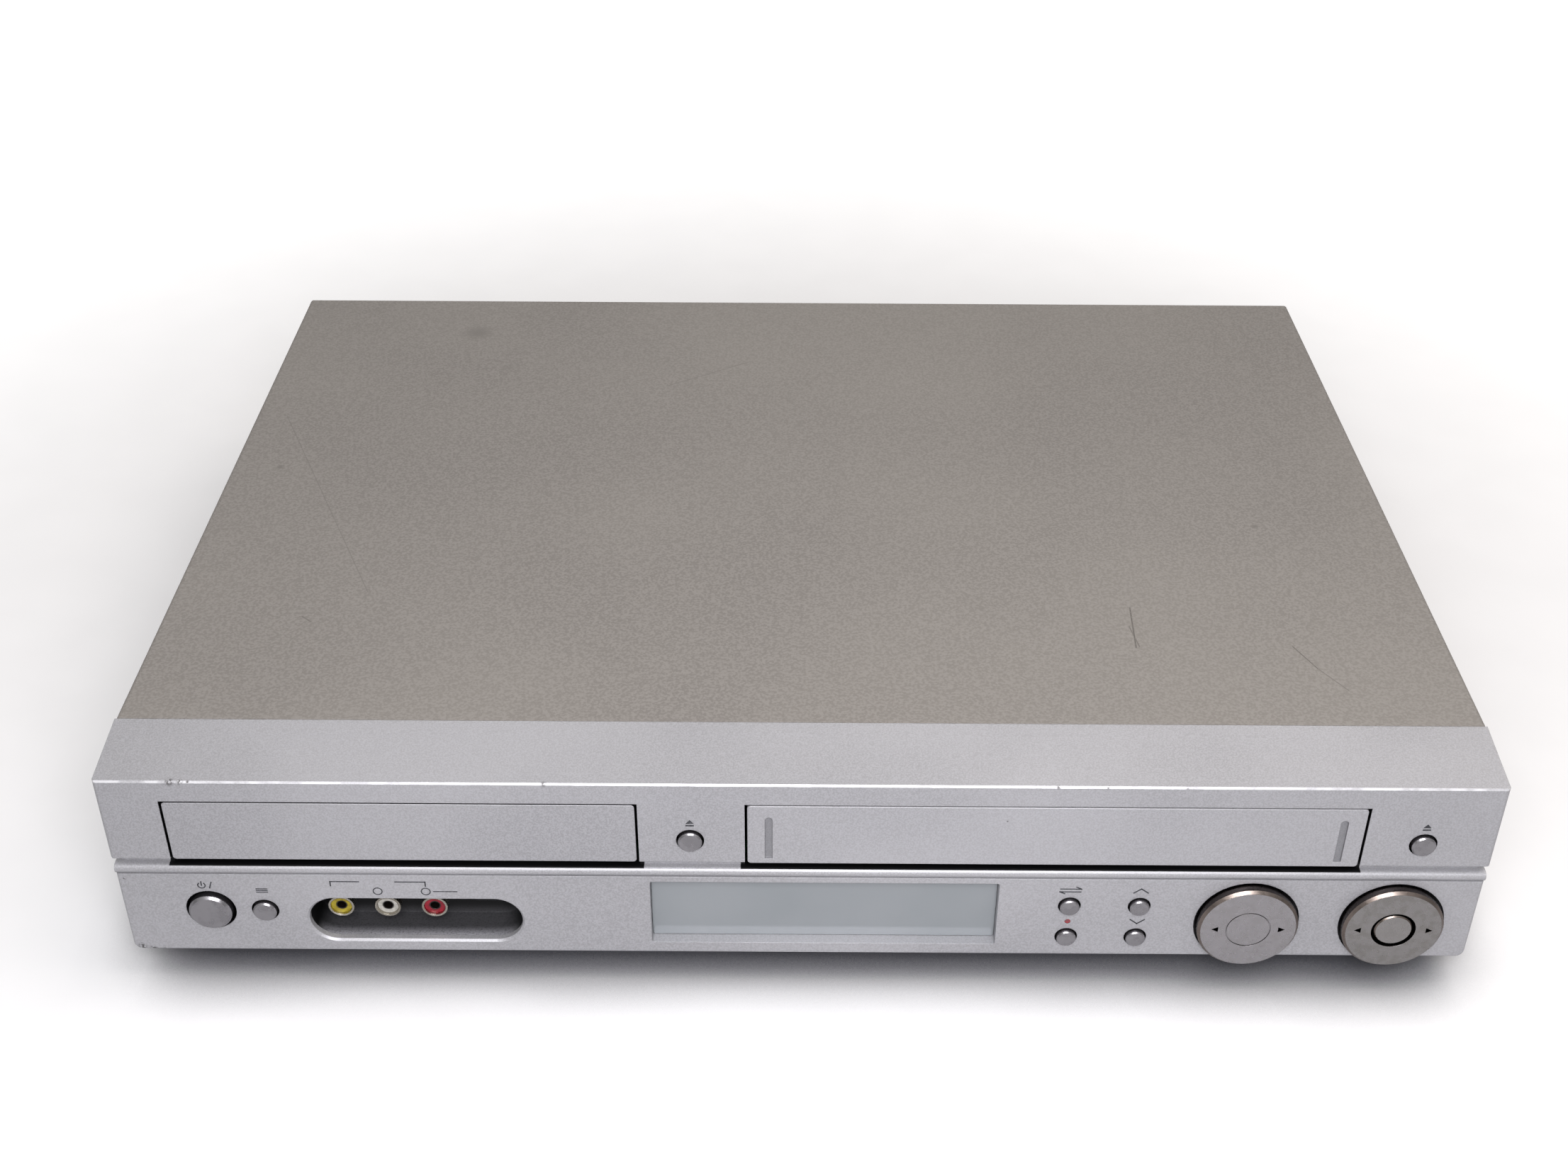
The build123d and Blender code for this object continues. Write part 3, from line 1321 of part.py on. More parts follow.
def head_drum():
    """The spinning upper drum, with its shaft below and the motor's rotor on top."""
    low = lower_drum_height + drum_gap
    drum = Pos(0, 0, low + head_drum_height / 2) * Cylinder(drum_radius, head_drum_height)
    drum = chamfer(drum.edges().group_by(Axis.Z)[-1], 0.8)
    cap_middle = low + head_drum_height + motor_cap_height / 2
    cap = Pos(0, 0, cap_middle) * Cylinder(motor_cap_radius, motor_cap_height)
    cap = chamfer(cap.edges().group_by(Axis.Z)[-1], 1.0)
    shaft = Pos(0, 0, lower_drum_height) * Cylinder(drum_shaft_radius, 2 * drum_shaft_in)
    for turn in range(3):
        at = Pos(0, 0, low + head_drum_height) * Rot(0, 0, 120 * turn) * Pos(drum_screw_at, 0, 0)
        hole = at * Cylinder(drum_screw_radius, drum_screw_depth)
        drum -= hole
    return drum_frame() * (drum + cap + shaft)


def pinch_arm():
    """The arm that presses the pinch roller on the capstan, with the roller's axle."""
    px, py = pinch_place()
    rx, ry = roller_place()
    boss = rod_z(px, py, pinch_boss_radius, pinch_arm_z)
    axle = rod_z(rx, ry, pinch_axle_radius, (pinch_arm_z[0], pinch_arm_z[1] + pinch_roller_height + 2))
    seat = rod_z(rx, ry, pinch_boss_radius, pinch_arm_z)
    bar = Pos((px + rx) / 2, (py + ry) / 2, middle_of(pinch_arm_z))
    bar = bar * Rot(0, 0, pinch_rest_angle) * Box(pinch_bar_width, pinch_arm_length, length_of(pinch_arm_z))
    arm = boss + seat + bar + axle
    return arm - rod_z(px, py, reel_post_radius + pin_play, (pinch_arm_z[0] - 1, pinch_arm_z[1] + 1))


def pinch_roller():
    rx, ry = roller_place()
    low = pinch_arm_z[1] + flange_gap
    roller = rod_z(rx, ry, pinch_roller_radius, (low, low + pinch_roller_height))
    return roller - rod_z(rx, ry, pinch_axle_radius + pin_play, (low - 1, low + pinch_roller_height + 1))


def cassette_holder():
    """The sheet-steel holder that takes the cassette: floor, sides, top lips, back stop and four pins."""
    outer = holder_half + holder_sheet
    z = (holder_floor_z - holder_sheet, holder_roof_z + holder_sheet)
    holder = slab(about(deck_x, outer), holder_y, z)
    inside_z = (holder_floor_z, holder_roof_z)
    inside_y = (holder_y[0] - 1, holder_y[1] - holder_sheet)
    holder -= slab(about(deck_x, holder_half), inside_y, inside_z)
    open_z = (inside_z[0] + holder_front_lip, z[1] + 1)
    holder -= slab(about(deck_x, holder_half - holder_lip), (holder_y[0] - 1, holder_y[1] + 1), open_z)
    window_half, rim = holder_window
    window_span = (holder_y[0] + rim, holder_y[1] - rim)
    holder -= slab(about(deck_x, window_half), window_span, (z[0] - 1, inside_z[0] + 1))
    for side in (-1, 1):
        pin_end = outer + carriage_gap + carriage_sheet - holder_pin_gap
        x = sorted((deck_x + side * outer, deck_x + side * pin_end))
        for y in (holder_y[0] + holder_pin_inset, holder_y[1] - holder_pin_inset):
            holder += rod_x(y, holder_pin_z, holder_pin_radius, x)
    return holder


def carriage_frame():
    """Two side plates with the holder's long guide slots, their feet on the deck, and two cross beams."""
    frame = None
    slot_y = (holder_y[0] + holder_pin_inset, holder_y[1] - holder_pin_inset + holder_travel)
    reach = holder_pin_radius + slot_play
    for side in (-1, 1):
        x = sorted((deck_x + side * carriage_inner, deck_x + side * (carriage_inner + carriage_sheet)))
        plate = slab(x, carriage_y, (deck_z[1], carriage_top_z))
        plate -= slab((x[0] - 1, x[1] + 1), slot_y, about(holder_pin_z, reach))
        for y in slot_y:
            plate -= rod_x(y, holder_pin_z, reach, (x[0] - 1, x[1] + 1))
        rim, foot, top = carriage_window
        opening_y = (carriage_y[0] + rim, carriage_y[1] - rim)
        plate -= slab((x[0] - 1, x[1] + 1), opening_y, (deck_z[1] + foot, top))
        frame = plate if frame is None else frame + plate
    beam_half = carriage_inner + carriage_sheet
    beam_z = (carriage_top_z, carriage_top_z + carriage_sheet)
    for y in (carriage_y[0] + beam_from_ends[0], carriage_y[1] - carriage_beam - beam_from_ends[1]):
        frame += slab(about(deck_x, beam_half), (y, y + carriage_beam), beam_z)
    return frame


# ---------------------------------------------------------------- boards and rear connectors
def main_board():
    """The main board under the disc loader, with its chips and a row of connectors."""
    parts = [slab(about(loader_x, main_board_half), main_board_y, (inner_board_z, inner_board_top))]
    chip_z = (inner_board_top, inner_board_top + chip_height)
    for x, y, size in chips:
        parts.append(slab(about(loader_x + x, size / 2), about(main_board_y[0] + y, size / 2), chip_z))
    plug_y = [main_board_y[0] + offset for offset in connector_y]
    plug_z = (inner_board_top, inner_board_top + connector_height)
    for x in connector_x:
        parts.append(slab(about(loader_x + x, connector_half), plug_y, plug_z))
    return parts


def power_board():
    return slab(power_board_x, power_board_y, (inner_board_z, inner_board_top))


def power_transformer():
    """The switching transformer: a ferrite core round its bobbin."""
    top = inner_board_top
    x, y = power_board_x[0] + transformer_at[0], power_board_y[0] + transformer_at[1]
    half_x, half_y, height = transformer_half[0], transformer_half[1], transformer_height
    winding_z = (top + core_limb, top + height - core_limb)
    core = slab(about(x, half_x), about(y, half_y), (top, top + height))
    core -= slab(about(x, bobbin_half), about(y, half_y + 1), winding_z)
    bobbin = slab(about(x, bobbin_half), about(y, half_y + bobbin_bulge), winding_z)
    return core + bobbin + slab(about(x, core_middle_half), about(y, half_y), (top, top + height))


def power_capacitors():
    """The mains capacitor and four smaller ones beside it."""
    top = inner_board_top
    cans = []
    for x, y, radius, height in capacitor_cans:
        can = rod_z(power_board_x[0] + x, power_board_y[0] + y, radius, (top, top + height))
        cans.append(fillet(can.edges().group_by(Axis.Z)[-1], capacitor_edge))
    return cans


def heat_sink():
    """A finned aluminium heat sink on the power board."""
    top = inner_board_top
    x, y = power_board_x[0] + sink_at[0], power_board_y[0] + sink_at[1]
    sink_z = (top, top + sink_height)
    sink = slab((x, x + sink_length), (y, y + sink_plate), sink_z)
    for step in range(sink_fins):
        fin_x = x + sink_first_fin + step * sink_fin_pitch
        sink += slab((fin_x, fin_x + sink_fin), (y, y + sink_depth), sink_z)
    return sink


def tuner_module():
    """The tuner's can with its two aerial connectors through the rear panel."""
    y = (panel_y[0] - tuner_depth, panel_y[0])
    can = slab(tuner_x, y, tuner_z)
    for x, z in coax_places():
        can += rod_y(x, z, coax_radius, (panel_y[0], panel_y[1] + coax_proud))
        can -= rod_y(x, z, 1.2, (panel_y[1], panel_y[1] + coax_proud + 1))
    return can


def rear_jack_block():
    """The moulded block of eight phono jacks behind the rear panel."""
    y = (panel_y[0] - jack_block_depth, panel_y[0])
    block = slab(jack_block_x, y, jack_block_z)
    for x, z in rear_jacks():
        block += rod_y(x, z, jack_shell_radius, (panel_y[0] - 1, panel_y[1] + rear_jack_proud))
        block -= rod_y(x, z, jack_contact_radius, (panel_y[1], panel_y[1] + rear_jack_proud + 1))
    return block


def scart_sockets():
    """Two wide flat sockets, one over the other, open to the back."""
    sockets = []
    for z in scart_z:
        flange_y = (panel_y[0] - scart_flange, panel_y[0])
        flange = slab(about(scart_x, scart_size[0] / 2 + 3), flange_y, about(z, scart_size[1] / 2 + 1))
        y = (panel_y[0] - scart_depth, panel_y[1] + scart_proud)
        body = slab(about(scart_x, scart_size[0] / 2 - scart_rim), y, about(z, scart_size[1] / 2 - scart_rim))
        mouth_y = (panel_y[0] - scart_depth + 3, y[1] + 1)
        mouth = slab(about(scart_x, scart_mouth[0] / 2), mouth_y, about(z, scart_mouth[1] / 2))
        sockets.append(flange + body - mouth)
    return sockets


def mains_inlet():
    """The two-pin mains inlet: a moulded housing with its two pins."""
    x, z = inlet_centre
    flange = slab(about(x, inlet_size[0] / 2), (panel_y[0] - 2, panel_y[0]), about(z, inlet_size[1] / 2))
    y = (panel_y[0] - inlet_depth, panel_y[1] + inlet_proud)
    body = slab(about(x, inlet_size[0] / 2 - 3), y, about(z, inlet_size[1] / 2 - 1))
    half_x, half_z = inlet_mouth[0] / 2, inlet_mouth[1] / 2
    mouth = from_front(RectangleRounded(2 * half_x, 2 * half_z, 2), x, z, (y[0] + 3, y[1] + 1))
    pins = rod_y(x - 4.3, z, 1.2, (y[0] + 2, y[1] - 3)) + rod_y(x + 4.3, z, 1.2, (y[0] + 2, y[1] - 3))
    return flange + body - mouth + pins


def fan_frame():
    """The fan's square frame with the spokes that carry the rotor's pin."""
    y = (panel_y[0] - fan_depth, panel_y[0])
    x, z = fan_centre
    frame = slab(about(x, fan_size / 2), y, about(z, fan_size / 2))
    frame = fillet(frame.edges().filter_by(Axis.Y), fan_corner)
    frame -= rod_y(x, z, fan_bore, (y[0] - 1, y[1] + 1))
    spoke_y = (y[0], y[0] + fan_spoke_depth)
    spokes = slab(about(x, fan_size / 2 - 1), spoke_y, about(z, fan_spoke / 2))
    spokes += slab(about(x, fan_spoke / 2), spoke_y, about(z, fan_size / 2 - 1))
    frame += spokes + rod_y(x, z, fan_hub_radius, spoke_y)
    frame += rod_y(x, z, fan_pin_radius, (y[0], y[1] - fan_pin_set_in))
    for side_x in (-1, 1):
        for side_z in (-1, 1):
            at = (x + side_x * fan_screw_half, z + side_z * fan_screw_half)
            frame -= rod_y(*at, fan_screw_radius, (y[0] - 1, y[1] + 1))
    return frame


def fan_rotor():
    """The fan's hub with its pitched blades."""
    y = (panel_y[0] - fan_depth + fan_spoke_depth + flange_gap, panel_y[0] - rotor_gap)
    x, z = fan_centre
    hub = rod_y(x, z, fan_hub_radius, y)
    for turn in range(fan_blades):
        blade = Pos(fan_blade_tip / 2, 0, 0) * Rot(fan_blade_pitch, 0, 0) * Box(fan_blade_tip, *fan_blade_size)
        wedge = Pos(x, middle_of(y), z) * Rot(0, 360 * turn / fan_blades, 0) * blade
        hub += wedge & rod_y(x, z, fan_blade_tip, y)
    return hub - rod_y(x, z, fan_pin_radius + pin_play, (y[0] - 1, y[1] - 0.7))


def ribbon_cables():
    """Flat ribbon cables from the front board and the loader down to the main board."""
    top = inner_board_top + connector_height
    half = ribbon_thickness / 2
    drop_y = about(main_board_y[0] + middle_of(connector_y) - 1, half)
    ribbons = []
    for x, width, rise in zip(connector_x, ribbon_width, ribbon_rise):
        span_x = about(loader_x + x, width / 2)
        level_z = (top + rise, top + rise + ribbon_thickness)
        level = slab(span_x, (board_y + board_thickness, drop_y[1]), level_z)
        ribbons.append(level + slab(span_x, drop_y, (top, level_z[1])))
    return ribbons


# ---------------------------------------------------------------- write every node
os.makedirs("parts", exist_ok=True)

save("front_bezel", front_bezel())
save("top_cover", top_cover())
save("bottom_chassis", bottom_chassis())
save("rear_panel", rear_panel())
save("feet", *feet())
save("cover_screws", *cover_screws())
save("display_window", display_window())
save("display_module", display_module())
save("front_board", *front_board())
save("jack_recess", jack_recess())
save("rca_shells", *rca_shells())
for name, x in zip(("yellow", "white", "red"), jack_x):
    save(f"rca_insert_{name}", jack_insert(x, recess_centre[1], jack_front_y + insert_set_back, board_y))
save("dv_socket", dv_socket())

save("power_button", power_button())
save("scan_button", round_button(*scan_at, panel_set_back))
save("open_button", round_button(*open_at, 0))
save("eject_button", round_button(*eject_at, 0))
for name, x, z in (
    ("source_button", small_x[0], small_z[0]),
    ("record_button", small_x[0], small_z[1]),
    ("channel_up_button", small_x[1], small_z[0]),
    ("channel_down_button", small_x[1], small_z[1]),
):
    save(name, small_button(x, z))
save("copy_dial", copy_dial())
save("ring_gimbal", ring_gimbal())
save("navigation_ring", navigation_ring())
save("play_button", play_button())

save("tray_front", tray_front())
save("dvd_tray", dvd_tray())
save("tray_gear", tray_gear())
save("loader_chassis", loader_chassis())
save("traverse_plate", traverse_plate())
save("guide_rods", *guide_rods())
save("laser_pickup", laser_pickup())
save("turntable", turntable())
save("clamp_bridge", clamp_bridge())
save("clamp_puck", clamp_puck())

save("cassette_door", cassette_door())
save("cassette_holder", cassette_holder())
save("carriage_frame", carriage_frame())
save("vcr_deck_plate", vcr_deck_plate())
save("lower_drum", lower_drum())
save("head_drum", head_drum())
save("capstan", capstan())
save("supply_reel", reel_table(-1))
save("takeup_reel", reel_table(1))
save("pinch_arm", pinch_arm())
save("pinch_roller", pinch_roller())

save("main_board", *main_board())
save("power_board", power_board())
save("power_transformer", power_transformer())
save("power_capacitors", *power_capacitors())
save("heat_sink", heat_sink())
save("tuner_module", tuner_module())
save("rear_jack_block", rear_jack_block())
save("scart_sockets", *scart_sockets())
save("mains_inlet", mains_inlet())
save("fan_frame", fan_frame())
save("fan_rotor", fan_rotor())
save("ribbon_cables", *ribbon_cables())
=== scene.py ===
import math

import bmesh
import bpy
from mathutils import Matrix, Vector


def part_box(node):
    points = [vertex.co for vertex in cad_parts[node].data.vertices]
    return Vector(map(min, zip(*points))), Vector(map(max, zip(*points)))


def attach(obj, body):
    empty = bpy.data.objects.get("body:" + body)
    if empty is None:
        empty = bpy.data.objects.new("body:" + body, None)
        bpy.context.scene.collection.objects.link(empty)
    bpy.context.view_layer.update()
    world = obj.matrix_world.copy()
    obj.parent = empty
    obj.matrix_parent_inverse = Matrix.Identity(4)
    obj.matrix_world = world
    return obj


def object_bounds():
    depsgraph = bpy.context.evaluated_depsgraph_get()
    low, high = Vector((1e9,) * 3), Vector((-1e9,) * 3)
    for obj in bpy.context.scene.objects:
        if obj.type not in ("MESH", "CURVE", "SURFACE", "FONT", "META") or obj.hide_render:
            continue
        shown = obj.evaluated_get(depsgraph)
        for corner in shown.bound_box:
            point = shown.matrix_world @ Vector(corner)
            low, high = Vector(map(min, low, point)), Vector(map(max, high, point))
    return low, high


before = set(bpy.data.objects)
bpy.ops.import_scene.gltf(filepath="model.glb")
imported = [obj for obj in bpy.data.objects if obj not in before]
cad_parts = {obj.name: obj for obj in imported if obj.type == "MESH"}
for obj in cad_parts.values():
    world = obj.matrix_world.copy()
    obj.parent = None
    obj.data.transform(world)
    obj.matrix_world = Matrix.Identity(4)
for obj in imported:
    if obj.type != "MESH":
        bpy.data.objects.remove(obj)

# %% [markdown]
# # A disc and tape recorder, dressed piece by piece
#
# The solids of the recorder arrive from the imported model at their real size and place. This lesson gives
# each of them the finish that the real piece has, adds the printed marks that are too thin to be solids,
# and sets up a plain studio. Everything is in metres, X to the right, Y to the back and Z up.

cad_low, cad_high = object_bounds()
print("the recorder's box, in mm:", [round(size * 1000, 1) for size in cad_high - cad_low])

MM = 0.001
DIAL_PROUD = 3.0
PANEL_SET_BACK = 0.4   # the lower panel lies this far behind the fascia's plane
FASCIA_Y = cad_low.y + DIAL_PROUD * MM
PANEL_Y = FASCIA_Y + PANEL_SET_BACK * MM
print("the fascia's plane is at y =", round(FASCIA_Y, 5))


def place(x, y, z):
    """A point given in mm, with y counted backwards from the fascia's plane."""
    return Vector((x * MM, FASCIA_Y + y * MM, z * MM))


# %% [markdown]
# ## The camera
#
# The photograph was taken from in front of the case and well above it, close enough for a strong
# perspective: the cover's sides run together towards the back. A camera can be moved by hand until the view
# looks right, or its place, tilt and lens can be worked out from the case's corners in the photograph. The
# second way was taken, because it gives the case's real depth too. A camera looks along its own -Z, so the
# turn is built from yaw, pitch and roll in that order.

# %% Camera
CAMERA_AT = place(-5.1, -448.8, 461.6)
CAMERA_YAW, CAMERA_PITCH, CAMERA_ROLL = 0.05, -34.32, 0.31
SENSOR_MM = 36.0
FOCAL_MM = 44.34

upright = Matrix.Rotation(math.radians(90), 4, "X")
turn = Matrix.Rotation(math.radians(CAMERA_YAW), 4, "Z") @ upright
turn = turn @ Matrix.Rotation(math.radians(CAMERA_PITCH), 4, "X")
turn = turn @ Matrix.Rotation(math.radians(CAMERA_ROLL), 4, "Z")
camera_data = bpy.data.cameras.new("photo_camera")
camera_data.lens = FOCAL_MM
camera_data.sensor_width = SENSOR_MM
camera_data.clip_start = 0.01
camera = bpy.data.objects.new("photo_camera", camera_data)
camera.matrix_world = Matrix.Translation(CAMERA_AT) @ turn
bpy.context.scene.collection.objects.link(camera)
bpy.context.scene.camera = camera
print("the camera is", round((CAMERA_AT - place(0, 0, 50)).length, 3), "m from the fascia")

# %% [markdown]
# ## Colours and nodes
#
# Colours are read from swatches as sRGB hex values, but a shader works in linear light, so one function
# turns each value over. A second small function adds a node, sets it up and links its inputs, which keeps
# every material short enough to read as a list of layers.


# %% Colour and node helpers
def linear(hex_colour):
    """An sRGB colour such as "#AFB1B6" as linear red, green, blue and alpha."""
    channels = [int(hex_colour[at:at + 2], 16) / 255 for at in (1, 3, 5)]
    bright = [c / 12.92 if c <= 0.04045 else ((c + 0.055) / 1.055) ** 2.4 for c in channels]
    return (*bright, 1.0)


def add(tree, kind, into=None, **settings):
    """Adds a node. into gives inputs by name or number: a socket is linked, anything else is set.

    A hex value is set as the linear colour it stands for.
    """
    made = tree.nodes.new(kind)
    for name, value in settings.items():
        setattr(made, name, value)
    for key, value in (into or {}).items():
        if isinstance(value, bpy.types.NodeSocket):
            tree.links.new(value, made.inputs[key])
        else:
            made.inputs[key].default_value = linear(value) if isinstance(value, str) else value
    return made


SOFTLY = {"interpolation_type": "SMOOTHSTEP"}   # a Map Range that eases in and out, and holds at its ends


def start_material(name, **fixed):
    """A material with one Principled shader, and the object's own coordinates in metres."""
    material = bpy.data.materials.new(name)
    material.use_nodes = True
    tree = material.node_tree
    tree.nodes.clear()
    shader = add(tree, "ShaderNodeBsdfPrincipled")
    for key, value in fixed.items():
        shader.inputs[key.replace("_", " ").title().replace("Ior", "IOR")].default_value = value
    add(tree, "ShaderNodeOutputMaterial", {"Surface": shader.outputs[0]})
    where = add(tree, "ShaderNodeTexCoord").outputs["Object"]
    return material, tree, shader, where


def grain(tree, where, size_mm, detail=2.0, stretch=(1, 1, 1)):
    """Noise whose blotches are about size_mm wide, longer along an axis with a smaller stretch."""
    scaled = add(tree, "ShaderNodeVectorMath", {0: where, 1: stretch}, operation="MULTIPLY").outputs[0]
    noise = add(tree, "ShaderNodeTexNoise", {"Vector": scaled, "Scale": 1 / (size_mm * MM), "Detail": detail})
    return noise.outputs["Fac"]


def overlap(tree, *masks):
    """The product of several masks: strong only where all of them are strong."""
    found = masks[0]
    for mask in masks[1:]:
        found = add(tree, "ShaderNodeMath", {0: found, 1: mask}, operation="MULTIPLY").outputs[0]
    return found


def lay_over(tree, below, above, pattern, low=None, high=None, least=0.0, most=1.0):
    """Lays one colour over another, where a mask says, or as a pattern goes from low to high."""
    amount = pattern
    if low is not None:
        reach = {0: pattern, 1: low, 2: high, 3: least, 4: most}
        amount = add(tree, "ShaderNodeMapRange", reach, **SOFTLY).outputs[0]
    return add(tree, "ShaderNodeMix", {0: amount, 6: below, 7: above}, data_type="RGBA").outputs[2]


def vary_roughness(tree, shader, pattern, smooth, rough, low=0.2, high=0.8):
    """Roughness that goes from smooth to rough as a pattern goes from low to high."""
    reach = {0: pattern, 1: low, 2: high, 3: smooth, 4: rough}
    varied = add(tree, "ShaderNodeMapRange", reach, **SOFTLY).outputs[0]
    tree.links.new(varied, shader.inputs["Roughness"])


def soften(tree, shader, height, height_mm, edge_mm=0.25):
    """Bump from a height, over edges that catch the light as if rounded by edge_mm."""
    rounded = add(tree, "ShaderNodeBevel", {"Radius": edge_mm * MM}, samples=4).outputs[0]
    into = {"Strength": 1.0, "Distance": height_mm * MM, "Height": height, "Normal": rounded}
    bump = add(tree, "ShaderNodeBump", into).outputs[0]
    tree.links.new(bump, shader.inputs["Normal"])


print("half of full brightness in sRGB is", round(linear("#808080")[0], 3), "in linear light")

# %% [markdown]
# ## Marks of use
#
# A used case carries scuffs and scratches. A scuff is a small soft blotch, broken up by noise. A scratch is
# a straight line: the distance from a point to the line between its two ends tells the shader where it is.
# Both could be painted into an image, but masks made from places in mm need no file and stay sharp up close.


# %% Scuff and scratch masks
def near_point(tree, where, centre, radius_mm):
    """1 at a point, falling to 0 at radius_mm."""
    gap = add(tree, "ShaderNodeVectorMath", {0: where, 1: centre}, operation="DISTANCE").outputs["Value"]
    fade = {"Value": gap, "From Max": radius_mm * MM, "To Min": 1.0, "To Max": 0.0}
    return add(tree, "ShaderNodeMapRange", fade, **SOFTLY).outputs[0]


def near_line(tree, where, start, end, width_mm):
    """1 on the line from start to end, falling to 0 at width_mm beside it."""
    run = end - start
    from_start = add(tree, "ShaderNodeVectorMath", {0: where, 1: start}, operation="SUBTRACT").outputs[0]
    along_into = {0: from_start, 1: run.normalized()}
    along = add(tree, "ShaderNodeVectorMath", along_into, operation="DOT_PRODUCT").outputs["Value"]
    held_into = {"Value": along, "Min": 0.0, "Max": run.length}
    held = add(tree, "ShaderNodeClamp", held_into).outputs[0]
    step_into = {0: run.normalized(), "Scale": held}
    step = add(tree, "ShaderNodeVectorMath", step_into, operation="SCALE").outputs[0]
    gap = add(tree, "ShaderNodeVectorMath", {0: from_start, 1: step}, operation="DISTANCE").outputs["Value"]
    fade = {"Value": gap, "From Max": width_mm * MM, "To Min": 1.0, "To Max": 0.0}
    return add(tree, "ShaderNodeMapRange", fade, **SOFTLY).outputs[0]


def inside_box(tree, where, low, high):
    """1 inside a box between two corners, 0 outside."""
    middle_at, half = (low + high) / 2, (high - low) / 2
    off = add(tree, "ShaderNodeVectorMath", {0: where, 1: middle_at}, operation="SUBTRACT").outputs[0]
    off = add(tree, "ShaderNodeVectorMath", {0: off}, operation="ABSOLUTE").outputs[0]
    parts = add(tree, "ShaderNodeSeparateXYZ", {0: off}).outputs
    tests = []
    for part, size in zip(parts, half):
        tests.append(add(tree, "ShaderNodeMath", {0: part, 1: size}, operation="LESS_THAN").outputs[0])
    return overlap(tree, *tests)


def strongest(tree, masks):
    """The largest of several masks at each point."""
    found = masks[0]
    for mask in masks[1:]:
        found = add(tree, "ShaderNodeMath", {0: found, 1: mask}, operation="MAXIMUM").outputs[0]
    return found


print("masks are made at a point, along a line and inside a box")


# %% [markdown]
# ## Silver paint on moulded ABS
#
# The bezel, the tray's front and the cassette door are ABS mouldings with a silver paint: fine aluminium
# flakes in a clear binder. The eye sees a soft sheen with a very fine sparkle, slightly cool. Flakes are
# about 0.05 mm, too fine to show, so they are drawn 0.5 mm wide. A plain metal would mirror too much and a
# plain plastic too little, so the metallic value lies between the two and noise gives the flakes. Boxes in
# mm say where the spray didn't reach, with the moulding and painted shade near black there, where a hollow
# gets painted shade, and where an edge gets a painted highlight in patches.

# %% Silver paint
FLAKE_MM = 0.5
HAZE_MM = 90.0
EDGE_SCUFF_AT = (0.2, 82.7)   # y and z of the scuffs along the top edge
EDGE_SCUFFS = (
    (-191.5, 2.2), (-188.3, 1.5), (-185.8, 0.9), (-78.0, 1.3), (78.0, 1.1), (93.0, 0.9), (117.0, 0.8),
)
CORNER_SCUFF_Y = 0.4
CORNER_SCUFFS = ((-212.0, 13.5, 2.2), (-208.5, 12.6, 1.8), (-212.5, 43.0, 0.8), (-205.0, 12.9, 1.0))


def silver_paint(name, light="#B2B1B4", dark="#A7A6A9", scuffs=(), unpainted_and_shaded=(), highlit_edges=(), shaded_hollows=()):
    """Silver paint on moulded ABS, rubbed darker at the scuffs, each a centre and a radius in mm.

    In the gap boxes the spray doesn't reach: the dark moulding shows, and painted shade makes them near
    black. The edge boxes get a painted highlight in patches along sharp edges. The hollow boxes get a darker
    grey: painted shade.
    """
    material, tree, shader, where = start_material(name, metallic=0.35, roughness=0.42, ior=1.5)
    flakes = grain(tree, where, FLAKE_MM, detail=1.0)
    haze = grain(tree, where, HAZE_MM)
    tone = lay_over(tree, dark, light, haze, 0.35, 0.65)
    tone = lay_over(tree, tone, "#DADBDF", flakes, 0.3, 0.7, 0.0, 0.3)
    if highlit_edges:
        # a painted highlight in patches along the given edges
        painted_edge_highlight = strongest(tree, [inside_box(tree, where, low, high) for low, high in highlit_edges])
        reach = {0: grain(tree, where, 6.0), 1: 0.35, 2: 0.6, 3: 0.1, 4: 0.7}
        highlight_patches = add(tree, "ShaderNodeMapRange", reach, **SOFTLY).outputs[0]
        tone = lay_over(tree, tone, "#E6E6E8", overlap(tree, painted_edge_highlight, highlight_patches))
    if scuffs:
        worn = strongest(tree, [near_point(tree, where, centre, radius) for centre, radius in scuffs])
        reach = {0: grain(tree, where, 0.7), 1: 0.42, 2: 0.56}
        broken = overlap(tree, worn, add(tree, "ShaderNodeMapRange", reach, **SOFTLY).outputs[0])
        tone = lay_over(tree, tone, "#4A4745", broken)
    if shaded_hollows:
        # painted shade: a darker grey in the hollows of the finger marks
        painted_hollow_shade = strongest(tree, [inside_box(tree, where, low, high) for low, high in shaded_hollows])
        tone = lay_over(tree, tone, "#57585C", overlap(tree, painted_hollow_shade, 0.45))
    if unpainted_and_shaded:
        # near black in the gaps: the bare moulding, and painted shade where light doesn't reach
        bare = strongest(tree, [inside_box(tree, where, low, high) for low, high in unpainted_and_shaded])
        tone = lay_over(tree, tone, "#0E0E10", bare)
    tree.links.new(tone, shader.inputs["Base Color"])
    vary_roughness(tree, shader, flakes, 0.36, 0.50)
    soften(tree, shader, flakes, 0.012)
    return material


# %% Where the spray didn't reach: painted shade in the gaps
TRAY_GAP_X, DOOR_GAP_X = (-197.5, -48.8), (-18.6, 175.4)
GAP_Z = (51.8, 76.0)
UNDER_Z = (47.9, 51.9)
